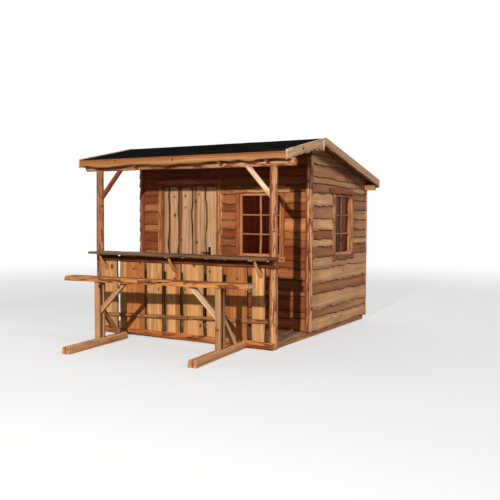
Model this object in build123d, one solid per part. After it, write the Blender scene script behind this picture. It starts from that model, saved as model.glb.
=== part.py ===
"""Garden shed in waney-edge timber with a porch bar and a high bar bench.

Units are millimetres. X runs along the front, Y from front to rear, Z up from the ground.
The origin lies at ground level under the ridge, half way along the front wall.
"""

import math
import os

from build123d import *

# The house: outer faces of its boards
HOUSE_WIDTH = 2800.0
HOUSE_DEPTH = 2050.0
BOARD_THICK = 22.0
STUD = 44.0
STUD_PITCH = 470.0

# The floor on its bearers
BEARER_HEIGHT = 60.0
BEARER_WIDTH = 60.0
BEARER_COUNT = 7
FLOOR_THICK = 22.0
PORCH_DEPTH = 979.0
SKIN_GROUND_GAP = 2.0

# The roof
RIDGE_TOP = 2598.0
PITCH_DEG = 12.2
SIDE_OVERHANG = 210.0
FRONT_EAVE = 1110.0
REAR_OVERHANG = 38.0
FELT_THICK = 3.0
ROOF_BOARD_THICK = 19.0
RAFTER_DEPTH = 100.0
RAFTER_WIDTH = 45.0
RAFTER_COUNT = 5
FASCIA_THICK = 22.0
FRONT_FASCIA_DROP = 112.0
REAR_FASCIA_DROP = 118.0
FRONT_BARGE_DEPTH = 138.0
REAR_BARGE_DEPTH = 116.0
BARGE_PROUD = 12.0
BARGE_WAVE = 13.0
RIDGE_BEAM_EXTRA = 20.0
PLATE_WIDTH = 66.0
PLATE_HEIGHT = 79.0
PLATE_NOTCH = 40.0
PURLIN_OVERHANG = 170.0
PEAK_STRIP_BACK = 94.0
PEAK_STRIP_WIDTH = 22.0
PEAK_STRIP_HEIGHT = 132.0
PEAK_STRIP_THICK = 10.0

# The porch logs
POST_RADIUS = 52.0
POST_TOP_RADIUS = 47.0
POST_INSET = 42.0
POST_SADDLE = 24.0
BEAM_RADIUS = 44.0
BEAM_SEAT = 8.0
BEAM_PAST_ROOF = 35.0
BRACE_RADIUS = 33.0
BRACE_DROP = 424.0
BRACE_RUN = 382.0
POST_SEAT_GAP = 2.0

# The door, its boards from left to right, and its frame
DOOR_LEFT = -962.0
DOOR_VISIBLE_WIDTH = 915.0
DOOR_TOP = 2045.0
DOOR_FLOOR_GAP = 10.0
DOOR_OVERLAP = 10.0
DOOR_CLEARANCE = 5.0
DOOR_BOARD_THICK = 24.0
DOOR_BOARD_WIDTHS = (94.0, 176.0, 235.0, 245.0)
DOOR_JOINT = 2.0
DOOR_JOINT_WAVE = 7.0
JAMB_THICK = 25.0
CASING_THICK = 32.0
CASING_WIDTH = 108.0
LEDGE_THICK = 36.0
LEDGE_HEIGHT = 140.0
LEDGE_END_GAP = 32.0
LOW_LEDGE = 300.0
HIGH_LEDGE = 1850.0

# The hinges and the lever
STRAP_LENGTH = 430.0
STRAP_HEIGHT = 40.0
STRAP_THICK = 5.0
EYE_RADIUS = 12.0
PIN_RADIUS = 6.5
PIN_CLEARANCE = 0.1
PIN_PAST_EYE = 6.0
KNUCKLE_HEIGHT = 26.0
EYE_WALL_GAP = 1.2
HINGE_EDGE_GAP = 2.5
PINTLE_PLATE_WIDTH = 80.0
PINTLE_PLATE_INSET = 20.0
PINTLE_PLATE_OVER = 40.0
PINTLE_PLATE_UNDER = 10.0
LEVER_HEIGHT = 1080.0
LEVER_FROM_EDGE = 124.0
LEVER_LENGTH = 112.0
LEVER_RADIUS = 8.0
LEVER_TIP_RADIUS = 6.4
LEVER_HUB = 19.0
SPINDLE_RADIUS = 5.0
RUNNING_GAP = 0.3
LEVER_STANDOFF = 46.0
LOCK_PLATE_WIDTH = 40.0
LOCK_PLATE_HEIGHT = 230.0
LOCK_PLATE_BELOW = 150.0
INNER_PLATE_HEIGHT = 120.0
LOCK_PLATE_THICK = 4.0

# The windows: the opening seen between the trims
WINDOW_WIDTH = 627.0
WINDOW_HEIGHT = 836.0
WINDOW_SILL = 1064.0
FRONT_WINDOW_CENTRE = 658.0
RIGHT_WINDOW_CENTRE = 1060.0
WINDOW_LAP = 10.0
SASH_BORDER = 35.0
SASH_INSET = 4.0
SASH_DEPTH = 58.0
GLAZING_BAR_WIDTH = 46.0
GLAZING_BAR_DEPTH = 24.0
GLAZING_BAR_WAVE = 4.0
GLASS_THICK = 4.0
SIDE_TRIM_WIDTH = 70.0
SIDE_TRIM_DEPTH = 40.0
HEAD_TRIM_HEIGHT = 92.0
HEAD_TRIM_PAST = 75.0
SILL_TRIM_HEIGHT = 100.0
SILL_TRIM_PAST = 8.0
TRIM_THICK = 36.0
TRIM_GAP = 1.0
TRIM_FLOOR_GAP = 3.0

# The corners of the house
CORNER_LOG_RADIUS = 54.0
CORNER_LOG_OFFSET_X = 6.0
CORNER_LOG_OFFSET_Y = 3.0
CORNER_LOG_BELOW_BEAM = 60.0
LEFT_CORNER_LOG_WIDTH = 95.0
LEFT_CORNER_LOG_INSET = 8.0
CORNER_STRIP_WIDTH = 32.0
CORNER_STRIP_THICK = 26.0

# The bar at the front of the porch, its boards from left to right
BAR_BOARD_THICK = 22.0
BAR_BOARD_FOOT = 30.0
BAR_HEIGHT = 1115.0
BAR_TOP_THICK = 30.0
BAR_TOP_FRONT = 246.0
BAR_TOP_REAR = 44.0
BAR_TOP_INSET_LEFT = 48.0
BAR_TOP_PAST_RIGHT = 97.0
BAR_BOARD_WIDTHS = (313.0, 428.0, 262.0, 230.0, 315.0, 236.0, 313.0, 185.0)
BAR_GAP_SHARES = (35, 25, 57, 39, 45, 44, 56)
BAR_ROW_LEFT_GAP = 8.0
BAR_ROW_RIGHT_GAP = 21.0
BAR_BOARD_WAVE = 5.0
BAR_RAIL_HEIGHT = 75.0
BAR_RAIL_DEPTH = 45.0
BAR_RAIL_BELOW = 30.0
FOOT_RAIL_HEIGHT = 61.0
FOOT_RAIL_DEPTH = 36.0
FOOT_RAIL_LEFT_Z = 249.0
FOOT_RAIL_RIGHT_Z = 342.0
FOOT_RAIL_INSET_LEFT = 208.0
FOOT_RAIL_INSET_RIGHT = 68.0
BAR_SILL_HEIGHT = 95.0
BAR_SILL_DEPTH = 45.0
HALF_LOG_UNEVEN = 0.06
BRACKET_INSET_LEFT = 188.0
BRACKET_MIDDLE = -20.0
BRACKET_INSET_RIGHT = 128.0
BRACKET_FOOT_RADIUS = 30.0
BRACKET_TIP_RADIUS = 12.0
BRACKET_DROP = 205.0
BRACKET_REACH = 165.0
BRACKET_SAG = 16.0
BRACKET_SIDES = 8
BRACKET_RUNS = 4

# The bar bench, in its own axes, and where it stands
BENCH_PLACE = (-1506.0, -1877.0)
BENCH_TURN_DEG = 5.34
BENCH_HEIGHT = 846.0
PLANK_THICK = 58.0
PLANK_DEPTH = 210.0
PLANK_LEFT = 426.0
PLANK_RIGHT = 2931.0
PLANK_WAVE = 8.0
BENCH_POSTS = (893.0, 2555.0)
BENCH_POST_WIDTH = 70.0
BENCH_POST_THICK = 40.0
BENCH_POST_GAP = 50.0
FOOT_WIDTH = 108.0
FOOT_HEIGHT = 85.0
FOOT_FRONT = 653.0
FOOT_REAR = 513.0
FOOT_EDGE = 24.0
SEAT_BRACE_RISE = 340.0
SEAT_BRACE_RUN = 330.0
SEAT_BRACE_DEPTH = 75.0
FOOT_BRACE_TOP = 450.0
FOOT_BRACE_RUN = 330.0
FOOT_BRACE_DEPTH = 60.0
FOOT_BRACE_THICK = 26.0

# The natural edges: two wave lengths and how often an edge has a point
LONG_WAVE = 118.0
SHORT_WAVE = 47.0
EDGE_STEP = 75.0
LOG_STEP = 420.0
EDGE_LEAST_STEPS = 4
LOG_LEAST_STEPS = 2
TAPERED_LOG_SIDES = 24

# How far the natural edges of each piece wander
CASING_WAVE = 4.0
CASING_HEAD_WAVE = 5.0
WINDOW_HEAD_WAVE = 6.0
WINDOW_SILL_WAVE = 5.0
BAR_TOP_WAVE = 4.0
FRONT_FASCIA_WAVE = 7.0
REAR_FASCIA_WAVE = 4.0
REAR_BARGE_WAVE = 4.3

# Where each piece starts on the waves, in radians, so that no two look alike
LONG_WAVE_SHARE = 0.62
SHORT_WAVE_PHASE = 2.3
OTHER_EDGE_PHASE = 1.9
LEFT_CASING_PHASE = 0.7
RIGHT_CASING_PHASE = 2.9
CASING_HEAD_PHASE = 4.2
LEFT_CORNER_PHASE = 0.4
FRONT_WINDOW_PHASE = 0.3
RIGHT_WINDOW_PHASE = 2.6
WINDOW_SILL_PHASE = 1.0
FRONT_FASCIA_PHASE = 1.1
REAR_FASCIA_PHASE = 3.3
FRONT_BARGE_PHASE = 0.5
REAR_BARGE_PHASE = 2.0
BAR_TOP_PHASE = 0.4
BAR_BOARD_PHASE = 1.3
BAR_RAIL_PHASE = 0.2
FOOT_RAIL_PHASE = 1.7
BAR_SILL_PHASE = 2.4
BENCH_PLANK_PHASE = 2.2

# Places worked out from the sizes above
HALF_WIDTH = HOUSE_WIDTH / 2
WALL_THICK = BOARD_THICK + STUD
FRONT_Y = -WALL_THICK / 2
INSIDE_Y = FRONT_Y + WALL_THICK
REAR_Y = FRONT_Y + HOUSE_DEPTH
FLOOR_TOP = BEARER_HEIGHT + FLOOR_THICK
SKIN_FOOT = BEARER_HEIGHT + SKIN_GROUND_GAP
FRAME_X = HALF_WIDTH - BOARD_THICK
FRAME_FRONT_Y = FRONT_Y + BOARD_THICK
FRAME_REAR_Y = REAR_Y - BOARD_THICK
PORCH_Y = FRONT_Y - PORCH_DEPTH
TAN_PITCH = math.tan(math.radians(PITCH_DEG))
COS_PITCH = math.cos(math.radians(PITCH_DEG))
FELT_DROP = FELT_THICK / COS_PITCH
BOARD_DROP = FELT_DROP + ROOF_BOARD_THICK / COS_PITCH
RAFTER_DROP = BOARD_DROP + RAFTER_DEPTH / COS_PITCH
ROOF_X = HALF_WIDTH + SIDE_OVERHANG
BARGE_X = ROOF_X - FASCIA_THICK
PURLIN_X = HALF_WIDTH + PURLIN_OVERHANG
FRONT_EAVE_Y = -FRONT_EAVE
REAR_EAVE_Y = REAR_Y + REAR_OVERHANG
POST_X = HALF_WIDTH - POST_INSET
POST_Y = PORCH_Y + POST_RADIUS
LEAF_X0 = DOOR_LEFT - DOOR_OVERLAP
LEAF_X1 = DOOR_LEFT + DOOR_VISIBLE_WIDTH + DOOR_OVERLAP
LEAF_Y = FRONT_Y + DOOR_CLEARANCE
LEAF_FOOT = FLOOR_TOP + DOOR_FLOOR_GAP
LEDGE_Y = LEAF_Y + DOOR_BOARD_THICK
STRAP_Y = LEDGE_Y + LEDGE_THICK
DOORWAY_X0 = LEAF_X0 - DOOR_CLEARANCE - JAMB_THICK
DOORWAY_X1 = LEAF_X1 + DOOR_CLEARANCE + JAMB_THICK
DOORWAY_TOP = DOOR_TOP + DOOR_CLEARANCE + JAMB_THICK
HINGE_X = LEAF_X0 - HINGE_EDGE_GAP
HINGE_Y = INSIDE_Y + EYE_RADIUS + EYE_WALL_GAP
LEVER_X = LEAF_X1 - LEVER_FROM_EDGE
BAR_REAR_Y = PORCH_Y
BAR_FRONT_Y = BAR_REAR_Y - BAR_BOARD_THICK
BAR_UNDERSIDE = BAR_HEIGHT - BAR_TOP_THICK
BAR_TOP_LEFT = -POST_X + BAR_TOP_INSET_LEFT
BAR_TOP_RIGHT = POST_X + BAR_TOP_PAST_RIGHT
BENCH_SEAT_FOOT = BENCH_HEIGHT - PLANK_THICK


def roof_z(y, drop):
    """Height of a layer of the roof at depth y, drop below the outer face."""
    return RIDGE_TOP - TAN_PITCH * abs(y) - drop


RIDGE_BEAM_FOOT = roof_z(WALL_THICK / 2, RAFTER_DROP) - RIDGE_BEAM_EXTRA
PLATE_FOOT = roof_z(FRAME_REAR_Y, RAFTER_DROP) + PLATE_NOTCH - PLATE_HEIGHT
BEAM_Z = roof_z(POST_Y, RAFTER_DROP) - (BEAM_RADIUS - BEAM_SEAT) / COS_PITCH
POST_TOP = BEAM_Z - BEAM_RADIUS + POST_SADDLE


def block(x0, x1, y0, y1, z0, z1):
    """A box between two corners."""
    return Pos((x0 + x1) / 2, (y0 + y1) / 2, (z0 + z1) / 2) * Box(x1 - x0, y1 - y0, z1 - z0)


def prism(corners, direction):
    """A flat polygon pushed along a direction."""
    face = Face(Wire.make_polygon([Vector(*corner) for corner in corners], close=True))
    return Solid.extrude(face, Vector(*direction))


def ripple(along, phase):
    """The natural edge of a plank: two sines added, between -1 and 1."""
    long = LONG_WAVE_SHARE * math.sin(along / LONG_WAVE + phase)
    return long + (1 - LONG_WAVE_SHARE) * math.sin(along / SHORT_WAVE + SHORT_WAVE_PHASE * phase)


def steps(start, end, pitch, least):
    """Evenly spaced places from start to end, about one pitch apart."""
    count = max(least, round(abs(end - start) / pitch))
    return [start + (end - start) * i / count for i in range(count + 1)]


def outline(start, end, low, high, place):
    """A plank's outline; low and high give its two long edges, place makes a point of (along, across)."""
    along = steps(start, end, EDGE_STEP, EDGE_LEAST_STEPS)
    return [place(s, low(s)) for s in along] + [place(s, high(s)) for s in reversed(along)]


def natural(edge, reach, phase):
    """A long edge that wanders either side of a line by no more than reach."""
    return lambda s: edge + reach * ripple(s, phase)


def level_plank(x0, x1, z0, z1, y0, y1, reach, phase):
    """A plank standing on edge, with its natural edges running along X."""
    low = natural(z0 + reach, reach, phase)
    high = natural(z1 - reach, reach, phase + OTHER_EDGE_PHASE)
    return prism(outline(x0, x1, low, high, lambda s, c: (s, y0, c)), (0, y1 - y0, 0))


def upright_plank(x0, x1, z0, z1, y0, y1, reach, phase):
    """A plank standing on end, with its natural edges running up."""
    low = natural(x0 + reach, reach, phase)
    high = natural(x1 - reach, reach, phase + OTHER_EDGE_PHASE)
    return prism(outline(z0, z1, low, high, lambda s, c: (c, y0, s)), (0, y1 - y0, 0))


def flat_plank(x0, x1, y0, y1, z0, z1, reach, phase):
    """A plank lying flat, with its natural edges running along X."""
    low = natural(y0 + reach, reach, phase)
    high = natural(y1 - reach, reach, phase + OTHER_EDGE_PHASE)
    return prism(outline(x0, x1, low, high, lambda s, c: (s, c, z0)), (0, 0, z1 - z0))


def half_log(start, end, across, outward, width, depth, phase):
    """Half a log between two points on its flat side, its girth a little uneven."""
    start = Vector(*start)
    run = Vector(*end) - start
    faces = []
    for s in steps(0, run.length, LOG_STEP, LOG_LEAST_STEPS):
        scale = 1 - HALF_LOG_UNEVEN * (1 - ripple(s, phase)) / 2
        middle = start + run * (s / run.length)
        side = Vector(*across) * (width * scale / 2)
        bark = middle + Vector(*outward) * (depth * scale)
        arc = ThreePointArc(middle - side, bark, middle + side)
        faces.append(Face(Wire([arc, Line(middle + side, middle - side)])))
    return Solid.make_loft([face.outer_wire() for face in faces], ruled=True)


def log_between(start, end, first_radius, last_radius):
    """A straight log: round where it is as thick all along, many-sided where it grows thinner."""
    run = Vector(*end) - Vector(*start)
    place = Plane(origin=start, z_dir=run)
    if first_radius == last_radius:
        return place * Cylinder(first_radius, run.length, align=(Align.CENTER, Align.CENTER, Align.MIN))
    first = place * RegularPolygon(first_radius, TAPERED_LOG_SIDES)
    last = place.offset(run.length) * RegularPolygon(last_radius, TAPERED_LOG_SIDES)
    return loft([first, last], ruled=True)


def both_sides(shape):
    """A solid and its mirror image over the house's centre line."""
    return [shape, mirror(shape, about=Plane.YZ)]


def save(name, *solids):
    """Write one node."""
    pieces = [piece for solid in solids for piece in solid.solids()]
    shape = pieces[0] if len(pieces) == 1 else Compound(pieces)
    shape.label = name
    export_step(shape, f"parts/{name}.step")


# The floor: bearers on the ground, with the boards of house and porch across them
def bearers():
    pitch = (2 * FRAME_X - BEARER_WIDTH) / (BEARER_COUNT - 1)
    made = []
    for i in range(BEARER_COUNT):
        x = -FRAME_X + pitch * i
        outer = i in (0, BEARER_COUNT - 1)
        front = POST_Y + POST_RADIUS if outer else PORCH_Y
        made.append(block(x, x + BEARER_WIDTH, front, FRAME_REAR_Y, 0, BEARER_HEIGHT))
    return made


def house_floor():
    """The house floor, laid between the wall frames, which stand on the bearers too."""
    half = FRAME_X - STUD
    return block(-half, half, INSIDE_Y, FRAME_REAR_Y - STUD, BEARER_HEIGHT, FLOOR_TOP)


def porch_deck():
    """The porch floor up to the face of the front wall, notched at its front corners for the posts."""
    deck = block(-FRAME_X, FRAME_X, PORCH_Y, FRONT_Y, BEARER_HEIGHT, FLOOR_TOP)
    notch = block(POST_X - POST_RADIUS, FRAME_X, PORCH_Y, POST_Y + POST_RADIUS, BEARER_HEIGHT, FLOOR_TOP)
    for piece in both_sides(notch):
        deck = deck - piece
    return deck


# The roof's timbers
def ridge_beam():
    """A beam along the ridge, its top cut to both slopes."""
    half = WALL_THICK / 2
    top = roof_z(half, BOARD_DROP)
    corners = [(-PURLIN_X, -half, RIDGE_BEAM_FOOT), (-PURLIN_X, half, RIDGE_BEAM_FOOT)]
    corners += [(-PURLIN_X, half, top), (-PURLIN_X, 0, roof_z(0, BOARD_DROP)), (-PURLIN_X, -half, top)]
    return prism(corners, (2 * PURLIN_X, 0, 0))


def rear_wall_plate():
    front = FRAME_REAR_Y - PLATE_WIDTH
    return block(-PURLIN_X, PURLIN_X, front, FRAME_REAR_Y, PLATE_FOOT, PLATE_FOOT + PLATE_HEIGHT)


def porch_beam():
    """A log across the posts, hewn flat underneath where it lies on each of them."""
    start = (-BARGE_X, POST_Y, BEAM_Z)
    end = (ROOF_X + BEAM_PAST_ROOF, POST_Y, BEAM_Z)
    beam = log_between(start, end, BEAM_RADIUS, BEAM_RADIUS)
    half = POST_TOP_RADIUS + POST_SEAT_GAP
    seat = block(POST_X - half, POST_X + half, PORCH_Y, POST_Y + POST_RADIUS, 0, POST_TOP)
    for piece in both_sides(seat):
        beam -= piece
    return beam


def rafter(x, y0, y1):
    """One rafter between two depths on one pitch of the roof."""
    corners = [(x, y0, roof_z(y0, BOARD_DROP)), (x, y1, roof_z(y1, BOARD_DROP))]
    corners += [(x, y1, roof_z(y1, RAFTER_DROP)), (x, y0, roof_z(y0, RAFTER_DROP))]
    return prism(corners, (RAFTER_WIDTH, 0, 0))


def rafters(y0, y1, seat):
    """A row of rafters, each notched over the timber that it seats on."""
    left = -(FRAME_X - STUD)
    pitch = (-2 * left - RAFTER_WIDTH) / (RAFTER_COUNT - 1)
    return [rafter(left + pitch * i, y0, y1) - seat for i in range(RAFTER_COUNT)]


def roof_layer(y_end, upper_drop, lower_drop):
    """One pitch of a sheet that follows the roof, from the ridge to y_end, between the barge boards."""
    x = -BARGE_X
    corners = [(x, 0, roof_z(0, upper_drop)), (x, y_end, roof_z(y_end, upper_drop))]
    corners += [(x, y_end, roof_z(y_end, lower_drop)), (x, 0, roof_z(0, lower_drop))]
    return prism(corners, (2 * BARGE_X, 0, 0))


def above_felt(y0, y1):
    """All that lies above the underside of the felt between two depths."""
    corners = [(-ROOF_X, y, roof_z(y, FELT_DROP)) for y in (y0, y1)]
    corners += [(-ROOF_X, y1, 2 * RIDGE_TOP), (-ROOF_X, y0, 2 * RIDGE_TOP)]
    return prism(corners, (2 * ROOF_X, 0, 0))


def fascia(y0, y1, drop, reach, phase):
    """The board across the rafter ends, with a natural lower edge."""
    outer = max(abs(y0), abs(y1))
    foot = roof_z(outer, FELT_DROP) - drop
    blank = level_plank(-BARGE_X, BARGE_X, foot, foot + 2 * drop, y0, y1, reach, phase)
    return blank - above_felt(y0, y1)


def barge(y_end, depth, reach, phase):
    """A board up the slope at the side of the roof, scalloped below and proud of the felt."""
    way = 1 if y_end > 0 else -1
    start = TRIM_GAP / 2
    along = steps(start, abs(y_end), EDGE_STEP, 6)
    low = [(BARGE_X, way * s, roof_z(s, depth) + reach * ripple(s, phase)) for s in along]
    top_start = (BARGE_X, way * start, roof_z(start, -BARGE_PROUD))
    top_end = (BARGE_X, y_end, roof_z(y_end, -BARGE_PROUD))
    return prism(low + [top_end, top_start], (FASCIA_THICK, 0, 0))


def peak_strip():
    """A narrow strip hangs over the face of the barge boards near the peak."""
    y = -PEAK_STRIP_BACK
    half = PEAK_STRIP_WIDTH / 2
    top = roof_z(PEAK_STRIP_BACK + half, FELT_DROP)
    return block(ROOF_X, ROOF_X + PEAK_STRIP_THICK, y - half, y + half, top - PEAK_STRIP_HEIGHT, top)


# The walls, each drawn flat: u along it, z up, depth from its outer face inwards
def frame_bays(u0, u1, top, keep):
    """The hollows between the studs, less the timber kept round a window."""
    count = max(1, round((u1 - u0 - STUD) / STUD_PITCH))
    edges = [u0 + (u1 - u0 - STUD) * i / count for i in range(count + 1)]
    hollows = []
    foot = BEARER_HEIGHT + STUD
    for left, right in zip(edges, edges[1:]):
        a = left + STUD
        corners = [(a, foot), (right, foot), (right, top(right) - STUD), (a, top(a) - STUD)]
        hollow = prism([(u, BOARD_THICK, z) for u, z in corners], (0, STUD, 0))
        hollows.append(hollow - keep if keep else hollow)
    return [piece for hollow in hollows for piece in hollow.solids()]


def wall_layer(u0, u1, z0, top, depth0, depth1):
    """A slab of wall whose upper edge follows top(u), with a corner where u is nought."""
    crest = [(u, depth0, top(u)) for u in (u1, 0.0, u0) if u0 <= u <= u1]
    return prism([(u0, depth0, z0), (u1, depth0, z0)] + crest, (0, depth1 - depth0, 0))


def wall(skin, frame, top, hole=None):
    """Boards on a stud frame. skin and frame are (u0, u1, z0); top gives the height at u."""
    made = wall_layer(*skin, top, 0, BOARD_THICK) + wall_layer(*frame, top, BOARD_THICK, WALL_THICK)
    keep = None
    if hole:
        u0, u1, z0, z1 = hole
        keep = block(u0 - STUD, u1 + STUD, BOARD_THICK, WALL_THICK, z0 - STUD, z1 + STUD)
    for hollow in frame_bays(frame[0], frame[1], top, keep):
        made = made - hollow
    if hole:
        made = made - block(u0, u1, 0, WALL_THICK, z0, z1)
    return made


def window_hole(centre):
    """The hole in the wall as (u0, u1, z0, z1), a little behind the trims on each side."""
    half = WINDOW_WIDTH / 2 + WINDOW_LAP
    return (centre - half, centre + half, WINDOW_SILL - WINDOW_LAP, WINDOW_SILL + WINDOW_HEIGHT + WINDOW_LAP)


def sash(centre, phase):
    """The frame in a window opening with waney glazing bars, two panes wide and three high."""
    u0, u1, z0, z1 = window_hole(centre)
    back = SASH_INSET + SASH_DEPTH
    a0, a1 = u0 + SASH_BORDER, u1 - SASH_BORDER
    b0, b1 = z0 + SASH_BORDER, z1 - SASH_BORDER
    made = block(u0, u1, SASH_INSET, back, z0, z1) - block(a0, a1, SASH_INSET, back, b0, b1)
    half = GLAZING_BAR_WIDTH / 2
    front = SASH_INSET + GLAZING_BAR_DEPTH
    made += upright_plank(centre - half, centre + half, b0, b1, SASH_INSET, front, GLAZING_BAR_WAVE, phase)
    for i in (1, 2):
        z = b0 + (b1 - b0) * i / 3
        made += level_plank(a0, a1, z - half, z + half, SASH_INSET, front, GLAZING_BAR_WAVE, phase + i)
    return made


def pane(centre):
    """One sheet of glass behind the glazing bars."""
    u0, u1, z0, z1 = window_hole(centre)
    front = SASH_INSET + GLAZING_BAR_DEPTH
    edge = SASH_BORDER
    return block(u0 + edge, u1 - edge, front, front + GLASS_THICK, z0 + edge, z1 - edge)


def window_trim(centre, phase):
    """Half logs up the sides, a plank over them and another as the sill."""
    half = WINDOW_WIDTH / 2
    head_foot = WINDOW_SILL + WINDOW_HEIGHT
    made = []
    for way in (-1, 1):
        u = centre + way * (half + SIDE_TRIM_WIDTH / 2)
        low = (u, 0, WINDOW_SILL + TRIM_GAP)
        high = (u, 0, head_foot - TRIM_GAP)
        made.append(half_log(low, high, (1, 0, 0), (0, -1, 0), SIDE_TRIM_WIDTH, SIDE_TRIM_DEPTH,
                             phase + way))
    out = half + SIDE_TRIM_WIDTH
    head = out + HEAD_TRIM_PAST
    sill = out + SILL_TRIM_PAST
    made.append(level_plank(centre - head, centre + head, head_foot, head_foot + HEAD_TRIM_HEIGHT,
                            -TRIM_THICK, 0, WINDOW_HEAD_WAVE, phase))
    made.append(level_plank(centre - sill, centre + sill, WINDOW_SILL - SILL_TRIM_HEIGHT, WINDOW_SILL,
                            -TRIM_THICK, 0, WINDOW_SILL_WAVE, phase + WINDOW_SILL_PHASE))
    return made


# The corners
def front_corner_logs():
    """Fixed to the wall clear of the deck: a round log on the right corner, half a log inside the left."""
    foot = FLOOR_TOP + TRIM_FLOOR_GAP
    top = RIDGE_BEAM_FOOT - CORNER_LOG_BELOW_BEAM
    x = HALF_WIDTH - CORNER_LOG_OFFSET_X
    y = FRONT_Y - CORNER_LOG_OFFSET_Y
    right = log_between((x, y, foot), (x, y, top), CORNER_LOG_RADIUS, CORNER_LOG_RADIUS)
    right -= block(0, HALF_WIDTH, FRONT_Y, REAR_Y, 0, RIDGE_TOP)
    x = -HALF_WIDTH + LEFT_CORNER_LOG_INSET + LEFT_CORNER_LOG_WIDTH / 2
    left = half_log((x, FRONT_Y, foot), (x, FRONT_Y, top), (1, 0, 0), (0, -1, 0), LEFT_CORNER_LOG_WIDTH,
                    LEFT_CORNER_LOG_WIDTH / 2, LEFT_CORNER_PHASE)
    return [right, left]


def rear_corner_strips():
    """A strip on each side wall covers the ends of the wall boards, up to the plate."""
    outer = HALF_WIDTH + CORNER_STRIP_THICK
    strip = block(HALF_WIDTH, outer, REAR_Y - CORNER_STRIP_WIDTH, REAR_Y, SKIN_FOOT, PLATE_FOOT)
    return both_sides(strip)


# The door
def door_frame():
    """Two jambs, a head and a sill level with the floors that line the doorway."""
    outer = block(DOORWAY_X0, DOORWAY_X1, FRONT_Y, INSIDE_Y, BEARER_HEIGHT, DOORWAY_TOP)
    inner_x0 = DOORWAY_X0 + JAMB_THICK
    inner_x1 = DOORWAY_X1 - JAMB_THICK
    return outer - block(inner_x0, inner_x1, FRONT_Y, INSIDE_Y, FLOOR_TOP, DOORWAY_TOP - JAMB_THICK)


def door_casing():
    """Waney planks nailed over the joint between the frame and the boards."""
    x0 = DOOR_LEFT
    x1 = DOOR_LEFT + DOOR_VISIBLE_WIDTH
    front = FRONT_Y - CASING_THICK
    foot = FLOOR_TOP + TRIM_FLOOR_GAP
    top = DOOR_TOP - DOOR_OVERLAP
    left = upright_plank(x0 - CASING_WIDTH, x0, foot, top, front, FRONT_Y, CASING_WAVE, LEFT_CASING_PHASE)
    right = upright_plank(x1, x1 + CASING_WIDTH, foot, top, front, FRONT_Y, CASING_WAVE, RIGHT_CASING_PHASE)
    head = level_plank(x0 - CASING_WIDTH, x1 + CASING_WIDTH, top + TRIM_GAP, top + CASING_WIDTH,
                       front, FRONT_Y, CASING_HEAD_WAVE, CASING_HEAD_PHASE)
    return [left, right, head]


def spindle_hole():
    """The hole for the lever's spindle, through all that the door is made of."""
    length = 4 * (DOOR_BOARD_THICK + LEDGE_THICK)
    return Pos(LEVER_X, 0, LEVER_HEIGHT) * Rot(90, 0, 0) * Cylinder(SPINDLE_RADIUS + RUNNING_GAP, length)


def door_boards():
    """Upright waney boards side by side; the last one fills what the others leave of the leaf."""
    low = natural(LEAF_X0, 0, 0)
    joint = LEAF_X0
    made = []
    for i in range(len(DOOR_BOARD_WIDTHS) + 1):
        if i < len(DOOR_BOARD_WIDTHS):
            joint += DOOR_BOARD_WIDTHS[i]
            high = natural(joint - DOOR_JOINT / 2, DOOR_JOINT_WAVE, i)
        else:
            high = natural(LEAF_X1, 0, 0)
        corners = outline(LEAF_FOOT, DOOR_TOP, low, high, lambda s, c: (c, LEAF_Y, s))
        made.append(prism(corners, (0, DOOR_BOARD_THICK, 0)) - spindle_hole())
        low = natural(joint + DOOR_JOINT / 2, DOOR_JOINT_WAVE, i)
    return made


def door_ledges():
    """Three rails across the inside of the boards; the middle one takes the lock."""
    made = []
    for z in (LOW_LEDGE, LEVER_HEIGHT, HIGH_LEDGE):
        half = LEDGE_HEIGHT / 2
        ledge = block(LEAF_X0 + LEDGE_END_GAP, LEAF_X1 - LEDGE_END_GAP, LEDGE_Y, STRAP_Y, z - half, z + half)
        made.append(ledge - spindle_hole())
    return made


def door_hinges():
    """A strap on the top and the bottom ledge, each with an eye that turns on a pin."""
    made = []
    for z in (LOW_LEDGE, HIGH_LEDGE):
        low = z - STRAP_HEIGHT / 2
        end = HINGE_X + STRAP_LENGTH
        strap = block(HINGE_X, end, STRAP_Y, STRAP_Y + STRAP_THICK, low, low + STRAP_HEIGHT)
        eye = Pos(HINGE_X, HINGE_Y, z) * Cylinder(EYE_RADIUS, STRAP_HEIGHT)
        bore = Pos(HINGE_X, HINGE_Y, z) * Cylinder(PIN_RADIUS + PIN_CLEARANCE, STRAP_HEIGHT)
        made.append(strap + eye - bore)
    return made


def hinge_pintles():
    """A plate on the wall, a knuckle under each eye and the pin through it."""
    made = []
    for z in (LOW_LEDGE, HIGH_LEDGE):
        top = z - STRAP_HEIGHT / 2 - RUNNING_GAP
        foot = top - KNUCKLE_HEIGHT
        right = HINGE_X - PINTLE_PLATE_INSET
        plate = block(right - PINTLE_PLATE_WIDTH, right, INSIDE_Y, INSIDE_Y + STRAP_THICK,
                      foot - PINTLE_PLATE_UNDER, top + PINTLE_PLATE_OVER)
        arm = block(right - STRAP_THICK, HINGE_X, INSIDE_Y, HINGE_Y + EYE_RADIUS, foot, top)
        knuckle = Pos(HINGE_X, HINGE_Y, (foot + top) / 2) * Cylinder(EYE_RADIUS, KNUCKLE_HEIGHT)
        pin_top = z + STRAP_HEIGHT / 2 + PIN_PAST_EYE
        pin = Pos(HINGE_X, HINGE_Y, (foot + pin_top) / 2) * Cylinder(PIN_RADIUS, pin_top - foot)
        made.append(plate + arm + knuckle + pin)
    return made


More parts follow.
